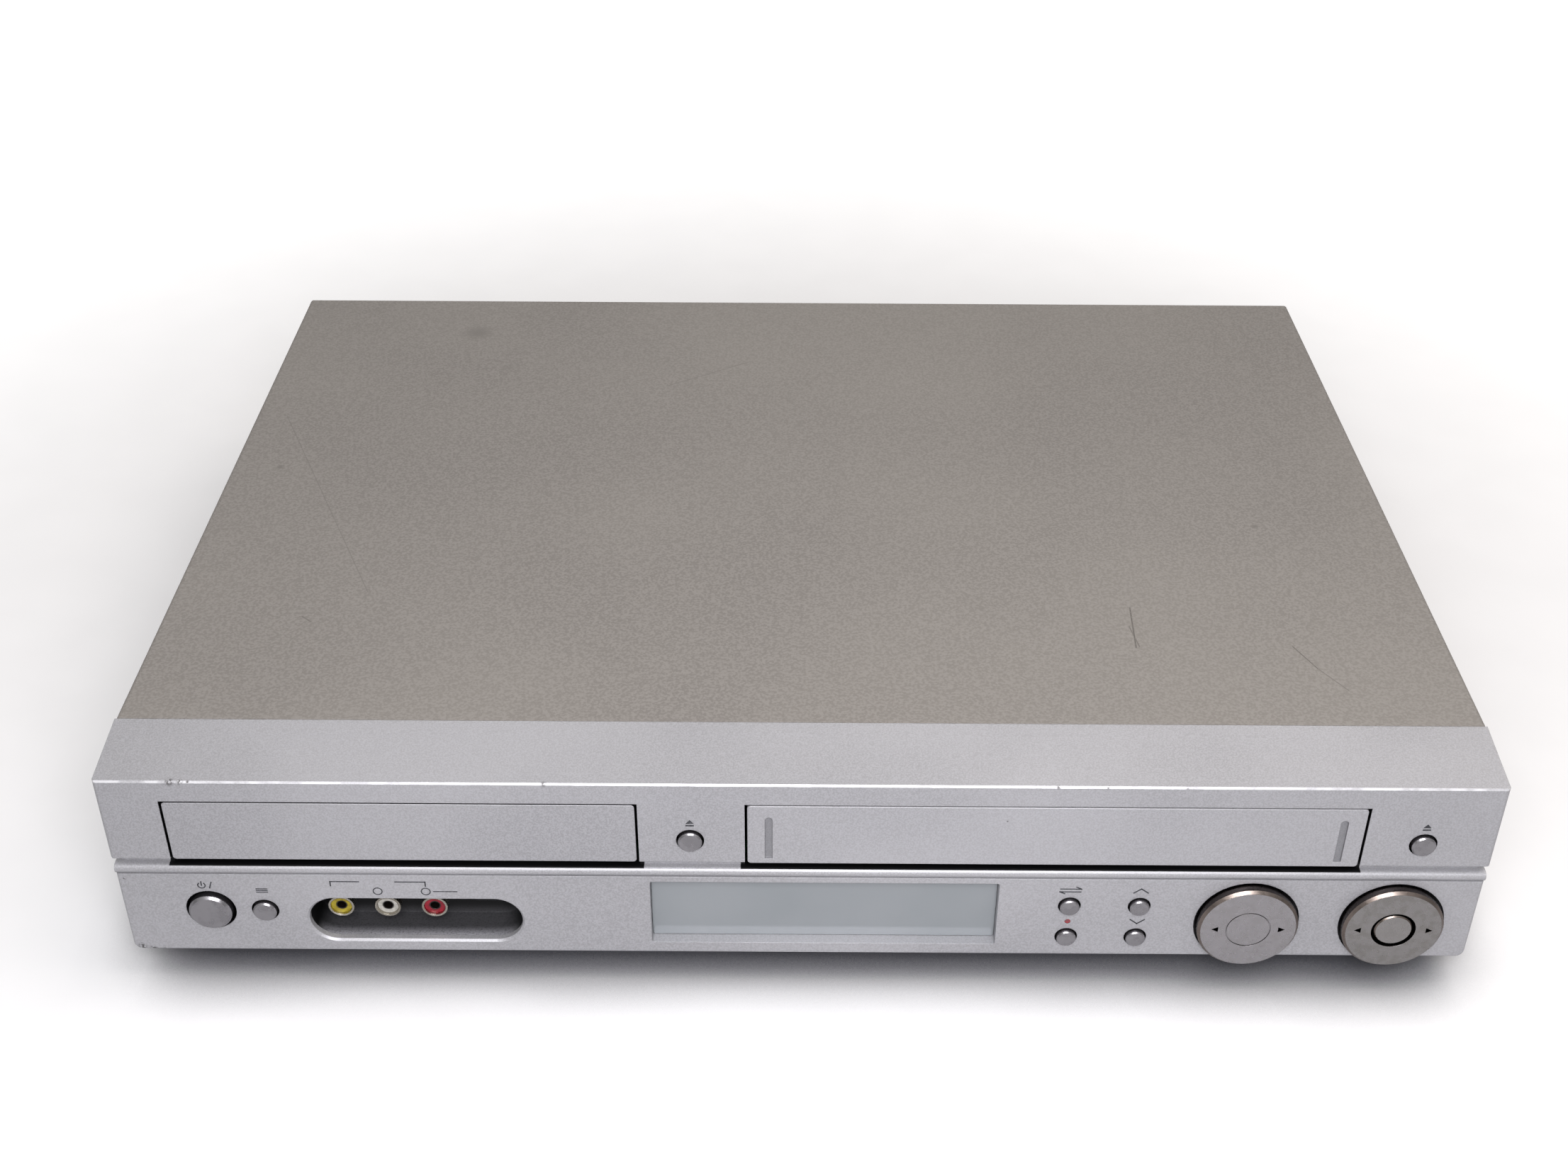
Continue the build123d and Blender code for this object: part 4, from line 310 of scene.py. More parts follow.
# The gap boxes are painted near black: painted shade in the gaps, from where the spray stops to GAP_END
GAP_END = 12.0                                    # where the unpainted boxes end, behind the fascia's plane
UPPER_SHADE_START = 0.3                                 # how far the spray reaches into a gap of the fascia
LOWER_SHADE_START = PANEL_SET_BACK + UPPER_SHADE_START
UNDER_SHADE_START = 0.75                                # and into the groove under the tray and the door
gaps = []
for low_x, high_x in (TRAY_GAP_X, DOOR_GAP_X):
    gaps.append((place(low_x, UPPER_SHADE_START, GAP_Z[0]), place(high_x, GAP_END, GAP_Z[1])))
    gaps.append((place(low_x, UNDER_SHADE_START, UNDER_Z[0]), place(high_x, GAP_END, UNDER_Z[1])))


def behind_face(node, depth_mm, margin_mm=0.0):
    """A box that holds a node's outline and starts depth_mm behind the fascia's plane."""
    low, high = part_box(node)
    margin = margin_mm * MM
    near = Vector((low[0] - margin, FASCIA_Y + depth_mm * MM, low[2] - margin))
    far = Vector((high[0] + margin, FASCIA_Y + GAP_END * MM, high[2] + margin))
    return near, far


def edge_strips(node, depth_mm, width_mm=0.9):
    """Four boxes along a front plate's edges, behind its rounding."""
    low, high = behind_face(node, depth_mm, 0.3)
    strip = width_mm * MM
    return [
        (low, Vector((low.x + strip, high.y, high.z))), (Vector((high.x - strip, low.y, low.z)), high),
        (low, Vector((high.x, high.y, low.z + strip))), (Vector((low.x, low.y, high.z - strip)), high),
    ]


UPPER_BUTTONS = ("open_button", "eject_button")
LOWER_BUTTONS = (
    "power_button", "scan_button", "source_button", "record_button", "channel_up_button",
    "channel_down_button",
)
DIAL_MARGIN = 1.0
# painted shade in the holes round the buttons and the dials
gaps += [behind_face(node, UPPER_SHADE_START) for node in UPPER_BUTTONS]
gaps += [behind_face(node, LOWER_SHADE_START) for node in LOWER_BUTTONS]
gaps += [behind_face(node, LOWER_SHADE_START, DIAL_MARGIN) for node in ("copy_dial", "navigation_ring")]
# each gap's box is painted shade
print("the spray stops short in", len(gaps), "gaps")

# %% The top edge's painted highlight, the scuffs of wear, and painted shade in the finger marks
TOP_EDGE_HALF, TOP_EDGE_Y, TOP_EDGE_Z = 214.5, (-0.3, 0.55), (82.3, 83.4)
DOOR_SPECKS = ((63.4, 69.1, 0.5), (14.0, 61.0, 0.4))
FINGER_INSET, FINGER_HALF = 10.0, 1.3             # a finger mark's place from the door's side, half its width
FINGER_Y, FINGER_Z = (0.1, 0.95), (52.0, 70.2)
PLATE_ROUNDING = 0.2
# a painted highlight along the bezel's top front edge
top_edge_highlight = [(
    place(-TOP_EDGE_HALF, TOP_EDGE_Y[0], TOP_EDGE_Z[0]), place(TOP_EDGE_HALF, TOP_EDGE_Y[1], TOP_EDGE_Z[1]),
)]
bezel_scuffs = [(place(x, *EDGE_SCUFF_AT), radius) for x, radius in EDGE_SCUFFS]
bezel_scuffs += [(place(x, CORNER_SCUFF_Y, z), radius) for x, z, radius in CORNER_SCUFFS]
door_specks = [(place(x, 0, z), radius) for x, z, radius in DOOR_SPECKS]
door_low, door_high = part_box("cassette_door")
# painted shade in the hollows of the door's finger marks
finger_mark_shade = []
for x in (door_low[0] / MM + FINGER_INSET, door_high[0] / MM - FINGER_INSET):
    finger_mark_shade.append((
        place(x - FINGER_HALF, FINGER_Y[0], FINGER_Z[0]), place(x + FINGER_HALF, FINGER_Y[1], FINGER_Z[1]),
    ))
print("the bezel has", len(bezel_scuffs), "scuffs, the door", len(door_specks), "specks")

# %% The painted pieces
painted_bezel = silver_paint(
    "moulded_ABS_silver_paint_bezel", scuffs=bezel_scuffs, unpainted_and_shaded=gaps, highlit_edges=top_edge_highlight,
)
# the edge strips paint shade into the gaps round the tray's front and the door
painted_tray_front = silver_paint(
    "moulded_ABS_silver_paint_tray_front", "#AEADB0", "#A3A2A5",
    unpainted_and_shaded=edge_strips("tray_front", PLATE_ROUNDING),
)
painted_door = silver_paint(
    "moulded_ABS_silver_paint_door", "#B5B4B7", "#AAA9AC", scuffs=door_specks,
    unpainted_and_shaded=edge_strips("cassette_door", PLATE_ROUNDING), shaded_hollows=finger_mark_shade,
)
print("silver paints:", painted_bezel.name, painted_tray_front.name, painted_door.name)

# %% [markdown]
# ## Warm grey paint on sheet steel
#
# The cover is folded steel sheet with a textured, warmer grey coating. It is a little darker than the
# bezel and shows a fine stipple. Boxes that stood on it and hands that slid over it left a long faint
# scratch on the left, short dark ones on the right, and some dull spots. The stipple could be dents in the
# mesh, but that takes millions of faces, so noise drives its colour, roughness and bump. Such a stipple is
# about 0.5 mm wide, and is drawn 0.9 mm wide so that it shows.

# %% Cover paint
STIPPLE_MM = 0.9
COVER_TOP = cad_high.z / MM
COVER_SCRATCHES = (
    ((-202.9, 220.7), (-148.6, 97.9), 0.35, 0.25),
    ((111.0, 68.0), (112.2, 91.0), 0.45, 0.75),
    ((112.2, 68.5), (110.4, 80.0), 0.40, 0.55),
    ((163.0, 69.0), (168.5, 57.0), 0.40, 0.65),
    ((168.5, 57.0), (176.0, 45.0), 0.35, 0.45),
    ((-54.0, 247.0), (-20.0, 269.0), 0.60, 0.22),
    ((-168.0, 83.0), (-164.5, 80.0), 0.50, 0.45),
)
COVER_SPOTS = (
    (165.0, 143.0, 2.0, 0.35), (-197.0, 181.0, 2.4, 0.35), (-137.0, 294.0, 9.0, 0.30),
    (-120.0, 262.0, 5.0, 0.12), (150.0, 210.0, 4.0, 0.12), (-60.0, 60.0, 1.2, 0.25),
)


def cover_paint():
    """Textured warm grey coating on sheet steel, with the scratches and spots of use."""
    material, tree, shader, where = start_material(
        "sheet_steel_warm_grey_coating", metallic=0.25, roughness=0.5,
    )
    stipple = grain(tree, where, STIPPLE_MM, detail=1.5)
    haze = grain(tree, where, 140.0)
    tone = lay_over(tree, "#8B8681", "#938E88", haze, 0.3, 0.7)
    tone = lay_over(tree, tone, "#ADA8A3", stipple, 0.35, 0.65, 0.0, 0.4)
    marks = []
    for start, end, width, strength in COVER_SCRATCHES:
        line = near_line(tree, where, place(*start, COVER_TOP), place(*end, COVER_TOP), width)
        marks.append(overlap(tree, line, strength))
    for x, y, radius, strength in COVER_SPOTS:
        spot = near_point(tree, where, place(x, y, COVER_TOP), radius)
        marks.append(overlap(tree, spot, strength))
    reach = {0: stipple, 1: 0.3, 2: 0.55, 3: 0.45, 4: 1.0}
    crumbs = add(tree, "ShaderNodeMapRange", reach, **SOFTLY).outputs[0]
    broken = overlap(tree, strongest(tree, marks), crumbs)
    tone = lay_over(tree, tone, "#4C4944", broken)
    tree.links.new(tone, shader.inputs["Base Color"])
    vary_roughness(tree, shader, stipple, 0.44, 0.58)
    soften(tree, shader, stipple, 0.02)
    return material


coated_cover = cover_paint()
print("the cover carries", len(COVER_SCRATCHES), "scratches and", len(COVER_SPOTS), "spots")

# %% [markdown]
# ## Spun aluminium dials and metallised buttons
#
# The two dials are turned aluminium discs: a cutting tool leaves fine rings round the centre, which
# spread a highlight into a bow-tie. The rings are about 0.1 mm apart, drawn 0.35 mm so that they show.
# Cut into the mesh they would take thousands of edges, so the distance from the dial's axis drives a wave
# for them instead. The small caps are plastic with a thin metal layer, smoother and without rings.


# %% Dial and button metals
def facing_front(tree):
    """1 on a face that looks forward, about 0.7 on a chamfer, 0 on a side."""
    turned = add(tree, "ShaderNodeTexCoord").outputs["Normal"]
    parts = add(tree, "ShaderNodeSeparateXYZ", {0: turned}).outputs
    return add(tree, "ShaderNodeMath", {0: parts["Y"], 1: -1.0}, operation="MULTIPLY").outputs[0]


def from_axis(tree, where, centre):
    """The distance from an axis that runs along Y through centre."""
    flat = add(tree, "ShaderNodeVectorMath", {0: where, 1: (1, 0, 1)}, operation="MULTIPLY").outputs[0]
    axis_into = {0: flat, 1: (centre.x, 0, centre.z)}
    return add(tree, "ShaderNodeVectorMath", axis_into, operation="DISTANCE").outputs["Value"]


SHADE_FROM, SHADE_FULL = 0.6, 2.4   # mm behind the fascia's plane


def darken_inside(tree, where, tone):
    """Blends a tone to near black behind the fascia's plane, where no light reaches."""
    depth = add(tree, "ShaderNodeSeparateXYZ", {0: where}).outputs["Y"]
    return lay_over(tree, tone, "#0C0C0D", depth, FASCIA_Y + SHADE_FROM * MM, FASCIA_Y + SHADE_FULL * MM)


def spun_aluminium(name, centre, ring_mm=0.35, light="#C6C3C4", dark="#B4B1B4", smudged=0.15):
    """Turned aluminium with rings round an axis that runs along Y through centre."""
    material, tree, shader, where = start_material(name, metallic=1.0, roughness=0.3)
    turns_into = {0: from_axis(tree, where, centre), 1: 2 * math.pi / (ring_mm * MM)}
    turns = add(tree, "ShaderNodeMath", turns_into, operation="MULTIPLY").outputs[0]
    rings = add(tree, "ShaderNodeMath", {0: turns}, operation="SINE").outputs[0]
    uneven = add(tree, "ShaderNodeTexNoise", {"Vector": where, "Scale": 1 / (1.2 * MM)}).outputs["Fac"]
    height = overlap(tree, rings, uneven)
    tone = lay_over(tree, dark, light, height, -0.8, 0.8)
    tone = lay_over(tree, tone, "#98958F", grain(tree, where, 3.0, detail=4.0), 0.42, 0.62, 0.0, smudged)
    facing = facing_front(tree)
    # painted reflection and shade: the chamfer a darker warm grey, the side near black, for the dark gap they
    # mirror
    tone = lay_over(tree, tone, "#8A7F78", facing, 0.75, 0.95, 1.0, 0.0)
    tone = lay_over(tree, tone, "#4C4746", facing, 0.2, 0.5, 1.0, 0.0)
    tone = darken_inside(tree, where, tone)
    tree.links.new(tone, shader.inputs["Base Color"])
    vary_roughness(tree, shader, uneven, 0.24, 0.38)
    soften(tree, shader, height, 0.01, edge_mm=0.2)
    return material


def metallised_cap(name, light="#A9A7AA", dark="#9D9B9E"):
    """Moulded plastic with a thin, satin metal layer, rubbed by fingers."""
    material, tree, shader, where = start_material(name, metallic=0.9, roughness=0.28)
    rub = grain(tree, where, 4.0)
    tone = lay_over(tree, dark, light, rub, 0.35, 0.65)
    # painted reflection and shade: the cap's side darker, for the dark gap round it
    tone = lay_over(tree, tone, "#6A676B", facing_front(tree), 0.2, 0.5, 1.0, 0.0)
    tone = darken_inside(tree, where, tone)
    tree.links.new(tone, shader.inputs["Base Color"])
    vary_roughness(tree, shader, rub, 0.22, 0.36, 0.3, 0.7)
    soften(tree, shader, grain(tree, where, 0.3), 0.001, edge_mm=0.15)
    return material


def middle(node):
    """The centre of a node's box."""
    low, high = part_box(node)
    return (Vector(low) + Vector(high)) / 2


spun_copy_dial = spun_aluminium("spun_aluminium_copy_dial", middle("copy_dial"))
spun_ring = spun_aluminium(
    "spun_aluminium_navigation_ring", middle("navigation_ring"),
    light="#B8B5B3", dark="#A3A09F", smudged=0.45,
)
spun_play = spun_aluminium(
    "spun_aluminium_play_button", middle("play_button"), light="#BDBAB8", dark="#A8A5A3",
)
button_cap = metallised_cap("metallised_ABS_button")
print("the copy dial's axis is at x =", round(middle("copy_dial").x * 1000, 2), "mm")

# %% [markdown]
# ## The display window
#
# The window is a grey half-mirrored acrylic plate: it hides the display's glass until it is lit. A weak
# metallic share and a low roughness give the flat, slightly mirroring grey. A clear plate over a dark one
# would be closer to the real build, but from outside it gives the same grey and takes longer to render.


# %% Window lens
def window_acrylic():
    """Grey half-mirrored acrylic, polished but not perfectly flat."""
    material, tree, shader, where = start_material(
        "half_mirrored_acrylic", metallic=0.2, roughness=0.16, ior=1.49,
    )
    unevenness = grain(tree, where, 0.8, detail=3.0)
    haze = grain(tree, where, 40.0)
    tone = lay_over(tree, "#959A9D", "#9CA0A3", haze, 0.3, 0.7)
    tree.links.new(tone, shader.inputs["Base Color"])
    vary_roughness(tree, shader, unevenness, 0.14, 0.2, 0.4, 0.8)
    soften(tree, shader, unevenness, 0.002)
    return material


window_lens = window_acrylic()
print("the window is", window_lens.name)

# %% [markdown]
# ## Plastics, rubber and plain metals of the other pieces
#
# The hidden pieces show when a tray or a door is open and from behind, so each gets the finish of its
# real stuff. One function makes moulded plastic of any colour: a fine spark-eroded grain of 0.4 mm and a
# slow change of tone. Another makes bare metal sheet, rolled along one direction.


# %% Moulded plastic
def moulded_plastic(name, colour, darker, rough=0.5, grain_mm=0.4, height_mm=0.015):
    """Moulded plastic with the grain that its mould was given."""
    material, tree, shader, where = start_material(name, roughness=rough, ior=1.5)
    skin = grain(tree, where, grain_mm, detail=2.0)
    tone = lay_over(tree, darker, colour, grain(tree, where, 12.0), 0.3, 0.7)
    tree.links.new(tone, shader.inputs["Base Color"])
    vary_roughness(tree, shader, skin, rough - 0.08, rough + 0.1)
    soften(tree, shader, skin, height_mm)
    return material


# These also set the painted light in the cup: lighter on the floor and to the front, painted shade above and
# behind
SPRAY_AND_LIGHT_UP, SPRAY_AND_LIGHT_IN = 6.0, 7.0   # how far the spray climbs from the cup's floor and reaches in, in mm


def recess_plastic():
    """The jack cup: dark ABS, lighter low and in front: spray on its floor, and painted light and shade."""
    material, tree, shader, where = start_material("moulded_dark_ABS_recess", roughness=0.4, ior=1.5)
    parts = add(tree, "ShaderNodeSeparateXYZ", {0: where}).outputs
    low_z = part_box("jack_recess")[0][2]
    skin = grain(tree, where, 0.6)
    low_down = {0: parts["Z"], 1: low_z, 2: low_z + SPRAY_AND_LIGHT_UP * MM, 3: 1.0, 4: 0.0}
    forward = {0: parts["Y"], 1: PANEL_Y, 2: PANEL_Y + SPRAY_AND_LIGHT_IN * MM, 3: 1.0, 4: 0.12}
    speckled = {0: skin, 1: 0.2, 2: 0.6, 3: 0.5, 4: 1.0}
    reaches = (low_down, forward, speckled)
    # silver spray and painted light on the floor and the front, painted shade above and behind
    spray_and_light = overlap(tree, *[add(tree, "ShaderNodeMapRange", reach, **SOFTLY).outputs[0] for reach in reaches])
    tree.links.new(lay_over(tree, "#070708", "#C4C3C9", spray_and_light), shader.inputs["Base Color"])
    soften(tree, shader, skin, 0.01)
    return material


black_abs = moulded_plastic("moulded_black_ABS", "#1C1C1F", "#121214", rough=0.45)
recess_abs = recess_plastic()
grey_tray_abs = moulded_plastic("moulded_grey_ABS_tray", "#58595D", "#525357", rough=0.5)
ivory_acetal = moulded_plastic("moulded_ivory_acetal", "#DDD7C4", "#C9C2AC", rough=0.4)
black_rubber = moulded_plastic(
    "moulded_black_rubber", "#19191A", "#101011", rough=0.75, grain_mm=0.8, height_mm=0.03,
)
roller_rubber = moulded_plastic("ground_black_rubber", "#1F1F20", "#151516", rough=0.6, grain_mm=0.3)


# The dark in an insert's bore is painted shade.
BORE_SHADE_EDGE = (1.6, 2.1)   # the dark of an insert's bore fades between these radii, in mm


def jack_insert(name, node, colour, darker):
    """A coloured insert, with painted shade in the bore that takes the plug's pin."""
    material, tree, shader, where = start_material(name, roughness=0.35, ior=1.5)
    radius = from_axis(tree, where, middle(node))
    tone = lay_over(tree, darker, colour, grain(tree, where, 1.5), 0.3, 0.7)
    # painted shade in the bore
    tone = lay_over(tree, tone, "#15100E", radius, BORE_SHADE_EDGE[0] * MM, BORE_SHADE_EDGE[1] * MM, 1.0, 0.0)
    tree.links.new(tone, shader.inputs["Base Color"])
    soften(tree, shader, grain(tree, where, 0.3), 0.005)
    return material


yellow_insert = jack_insert("moulded_yellow_jack_insert", "rca_insert_yellow", "#B3A12C", "#94821E")
white_insert = jack_insert("moulded_white_jack_insert", "rca_insert_white", "#C9C6BE", "#ABA8A0")
red_insert = jack_insert("moulded_red_jack_insert", "rca_insert_red", "#A01C30", "#7A1220")
ferrite = moulded_plastic("ferrite_and_taped_bobbin", "#2C2B2A", "#1E1D1C", rough=0.7, grain_mm=0.9)
capacitor_sleeve = moulded_plastic("shrunk_sleeve_over_aluminium", "#1B2340", "#141A30", rough=0.35)
ribbon_film = moulded_plastic("laminated_ribbon_film", "#D6D8DA", "#C3C6CA", rough=0.35, grain_mm=1.0)
print("materials so far:", len(bpy.data.materials))


# %% Bare metals
def rolled_metal(name, colour, darker, rough=0.38, stretch=(0.05, 1, 1), line_mm=0.5, height_mm=0.004):
    """Metal with fine lines along the axis whose stretch is small."""
    material, tree, shader, where = start_material(name, metallic=1.0, roughness=rough)
    lines = grain(tree, where, line_mm, detail=3.0, stretch=stretch)
    stains = grain(tree, where, 25.0, detail=4.0)
    tone = lay_over(tree, darker, colour, stains, 0.3, 0.7)
    tree.links.new(tone, shader.inputs["Base Color"])
    vary_roughness(tree, shader, lines, rough - 0.1, rough + 0.12)
    soften(tree, shader, lines, height_mm)
    return material


zinc_steel = rolled_metal("zinc_plated_sheet_steel", "#A9ADB0", "#A1A5A8")
nickel_shell = rolled_metal("nickel_plated_brass_jack", "#C9C4B8", "#A9A396", rough=0.22, stretch=(1, 1, 1))
turned_aluminium = rolled_metal("turned_aluminium", "#C5C7C9", "#AEB0B3", rough=0.25, stretch=(1, 1, 0.05))
ground_steel = rolled_metal("ground_steel", "#B5B6B8", "#9C9DA0", rough=0.2, stretch=(1, 1, 0.1))
blackened_steel = rolled_metal("blackened_steel_screw", "#3A3A3C", "#2A2A2C", rough=0.35, stretch=(1, 1, 1))
print("materials with the bare metals:", len(bpy.data.materials))


# %% [markdown]
# ## Circuit boards and the display's glass
#
# A board is glass-filled epoxy under a green solder mask. Copper tracks under the mask show as slightly
# lighter lines. They could be drawn one by one, but no board is seen closely, so here they are the edges of
# an uneven cell pattern, 2.5 mm apart. The display is a dark vacuum glass, nearly black behind the window.


# %% Boards and display glass
TRACK_PITCH = 2.5   # mm


def solder_masked_board():
    """Green solder mask with lighter copper tracks under it."""
    material, tree, shader, where = start_material("epoxy_board_green_solder_mask", roughness=0.35, ior=1.5)
    into = {"Vector": where, "Scale": 1 / (TRACK_PITCH * MM), "Randomness": 0.6}
    cells = add(tree, "ShaderNodeTexVoronoi", into, feature="DISTANCE_TO_EDGE").outputs["Distance"]
    reach = {0: cells, 1: 0.04, 2: 0.1, 3: 1.0, 4: 0.0}
    tracks = add(tree, "ShaderNodeMapRange", reach, **SOFTLY).outputs[0]
    tone = lay_over(tree, "#123D22", "#2C6A3E", tracks)
    tree.links.new(tone, shader.inputs["Base Color"])
    soften(tree, shader, tracks, 0.02)
    return material


def display_glass():
    """Dark vacuum glass with a faint, wide smear."""
    material, tree, shader, where = start_material("vacuum_display_glass", roughness=0.08, ior=1.52)
    smear = grain(tree, where, 15.0)
    tone = lay_over(tree, "#0E1514", "#1A2422", smear, 0.3, 0.7)
    tree.links.new(tone, shader.inputs["Base Color"])
    soften(tree, shader, smear, 0.002)
    return material


green_board = solder_masked_board()
dark_glass = display_glass()
print("boards and glass:", green_board.name, dark_glass.name)

# %% [markdown]
# ## Giving each piece its finish
#
# Each piece could get its finish where the finish is made. A table of finishes and their pieces was chosen
# instead, because a missing piece is easy to see there. Assigning to
# the object's material slots leaves its mesh as it is.

# %% Finishes by piece
finish_of = {
    painted_bezel: ("front_bezel",),
    painted_tray_front: ("tray_front",),
    painted_door: ("cassette_door",),
    coated_cover: ("top_cover",),
    zinc_steel: (
        "bottom_chassis", "rear_panel", "clamp_bridge", "carriage_frame", "vcr_deck_plate", "tuner_module",
        "traverse_plate", "cassette_holder",
    ),
    black_rubber: ("feet",),
    blackened_steel: ("cover_screws",),
    window_lens: ("display_window",),
    dark_glass: ("display_module",),
    green_board: ("front_board", "main_board", "power_board"),
    recess_abs: ("jack_recess",),
    nickel_shell: ("rca_shells",),
    yellow_insert: ("rca_insert_yellow",),
    white_insert: ("rca_insert_white",),
    red_insert: ("rca_insert_red",),
    black_abs: (
        "dv_socket", "loader_chassis", "rear_jack_block", "scart_sockets", "mains_inlet", "fan_frame",
        "laser_pickup", "turntable", "clamp_puck", "supply_reel", "takeup_reel", "fan_rotor", "ring_gimbal",
    ),
    button_cap: (
        "power_button", "scan_button", "open_button", "eject_button", "source_button", "record_button",
        "channel_up_button", "channel_down_button",
    ),
    spun_copy_dial: ("copy_dial",),
    spun_ring: ("navigation_ring",),
    spun_play: ("play_button",),
    grey_tray_abs: ("dvd_tray",),
    ivory_acetal: ("tray_gear",),
    turned_aluminium: ("lower_drum", "head_drum", "heat_sink"),
    ground_steel: ("guide_rods", "capstan", "pinch_arm"),
    roller_rubber: ("pinch_roller",),
    ferrite: ("power_transformer",),
    capacitor_sleeve: ("power_capacitors",),
    ribbon_film: ("ribbon_cables",),
}
dressed = set()
for material, nodes in finish_of.items():
    for node in nodes:
        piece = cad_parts[node]
        piece.data.materials.clear()
        piece.data.materials.append(material)
        dressed.add(node)
print(len(dressed), "pieces dressed; bare:", sorted(set(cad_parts) - dressed))

# %% [markdown]
# ## Printed marks
#
# The legends are silk-screened in dark grey ink, far thinner than any solid. Only plain signs are printed
# here: open and standby signs, three short lines, two opposite arrows, chevrons, a record dot, and a
# bracket with two rings over the jacks. An image on the paint could show them, but outlines stay sharp up
# close and can ride on the dials. Each mark is a flat outline with a tiny thickness that stands 0.04 mm
# proud of the paint.

# %% Ink and outline helpers
INK_MM = 0.04


def ink(name, colour, worn="#55565A"):
    """Screen-printing ink: matt, slightly uneven."""
    material, tree, shader, where = start_material(name, roughness=0.6)
    reach = {0: grain(tree, where, 0.4), 1: 0.3, 2: 0.7}
    patchy = add(tree, "ShaderNodeMapRange", reach, **SOFTLY).outputs[0]
    tree.links.new(lay_over(tree, colour, worn, patchy), shader.inputs["Base Color"])
    soften(tree, shader, patchy, 0.002)
    return material


grey_ink = ink("screen_printed_grey_ink", "#26272C")
red_ink = ink("screen_printed_red_ink", "#B3282C")


def print_mark(name, outlines, face_y, material=grey_ink, body="case"):
    """Closed outlines of (x, z) points in mm, made as thin raised ink on the plane at face_y."""
    mesh = bpy.data.meshes.new(name)
    shape = bmesh.new()
    for outline in outlines:
        front = [shape.verts.new((x * MM, face_y - INK_MM * MM, z * MM)) for x, z in outline]
        back = [shape.verts.new((x * MM, face_y + INK_MM * MM, z * MM)) for x, z in outline]
        shape.faces.new(front)
        shape.faces.new(list(reversed(back)))
        for index in range(len(outline)):
            following = (index + 1) % len(outline)
            shape.faces.new((front[index], back[index], back[following], front[following]))
    bmesh.ops.recalc_face_normals(shape, faces=shape.faces)
    shape.to_mesh(mesh)
    shape.free()
    mesh.materials.append(material)
    mark = bpy.data.objects.new(name, mesh)
    bpy.context.scene.collection.objects.link(mark)
    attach(mark, body)
    return mark


def stroke(points, width):
    """A band of one width along a line of (x, z) points, as quadrilaterals."""
    bands = []
    for (x0, z0), (x1, z1) in zip(points, points[1:]):
        run = Vector((x1 - x0, z1 - z0))
        side = Vector((-run.y, run.x)).normalized() * width / 2
        ahead = run.normalized() * width / 2
        a, b = Vector((x0, z0)) - ahead, Vector((x1, z1)) + ahead
        bands.append([tuple(a + side), tuple(b + side), tuple(b - side), tuple(a - side)])
    return bands


def strokes(lines, width):
    """The bands of several lines, as one list."""
    return [band for line in lines for band in stroke(line, width)]


def arc_points(x, z, radius, start, end, count=24):
    """Points round (x, z) from one angle to another, in degrees."""
    angles = [math.radians(start + (end - start) * step / count) for step in range(count + 1)]
    return [(x + radius * math.cos(a), z + radius * math.sin(a)) for a in angles]


def arc_band(x, z, radius, width, start=0, end=360):
    """A band of one width round (x, z), as quadrilaterals."""
    outer = arc_points(x, z, radius + width / 2, start, end)
    inner = arc_points(x, z, radius - width / 2, start, end)
    return [[outer[i], outer[i + 1], inner[i + 1], inner[i]] for i in range(len(outer) - 1)]


def disc_outline(x, z, radius):
    """A round dot."""
    return [arc_points(x, z, radius, 0, 360)[:-1]]


def open_sign(x, z, size):
    """A triangle over a bar."""
    half = size / 2
    triangle = [(x - half, z - size * 0.1), (x + half, z - size * 0.1), (x, z + half)]
    bar_top = z - size * 0.28
    bar = [(x - half, z - half), (x + half, z - half), (x + half, bar_top), (x - half, bar_top)]
    return [triangle, bar]


print("inks:", grey_ink.name, red_ink.name)

# %% Where the signs are printed, as x and z in mm
LINE, FINE_LINE, CHEVRON_LINE = 0.4, 0.36, 0.44
OPEN_SIGNS = (("open_sign_disc", -34.1), ("open_sign_tape", 192.4))
OPEN_SIGN_Z, OPEN_SIGN_SIZE = 67.6, 2.6
STANDBY_AT, STANDBY_RADIUS, STANDBY_ARC = (-188.6, 40.2), 1.15, (125, 415)
STANDBY_LINES = (((-188.6, 40.2), (-188.6, 41.7)), ((-186.2, 39.1), (-185.4, 41.5)))
SCAN_LINES = tuple(((-171.6, level), (-168.2, level)) for level in (37.4, 38.1, 38.8))
BRACKET_ARMS = (
    ((-147.9, 40.3), (-147.9, 42.1), (-138.9, 42.1)),
    ((-127.4, 42.1), (-118.0, 42.1), (-118.0, 40.3)),
)
BRACKET_DASH = ((-115.6, 38.1), (-108.3, 38.1))
BRACKET_RINGS, BRACKET_RING_RADIUS = ((-133.3, 38.1), (-118.1, 38.1)), 1.4
SWAP_LINES = (
    ((82.2, 40.8), (88.6, 40.8)), ((87.2, 41.6), (88.8, 40.8)),
    ((82.2, 39.6), (88.6, 39.6)), ((82.0, 39.6), (83.6, 38.8)),
)
RECORD_DOT_AT, RECORD_DOT_RADIUS = (85.5, 26.9), 0.95
UP_CHEVRON = ((105.4, 39.3), (107.65, 41.0), (109.9, 39.3))
DOWN_CHEVRON = ((105.4, 27.8), (107.65, 26.1), (109.9, 27.8))

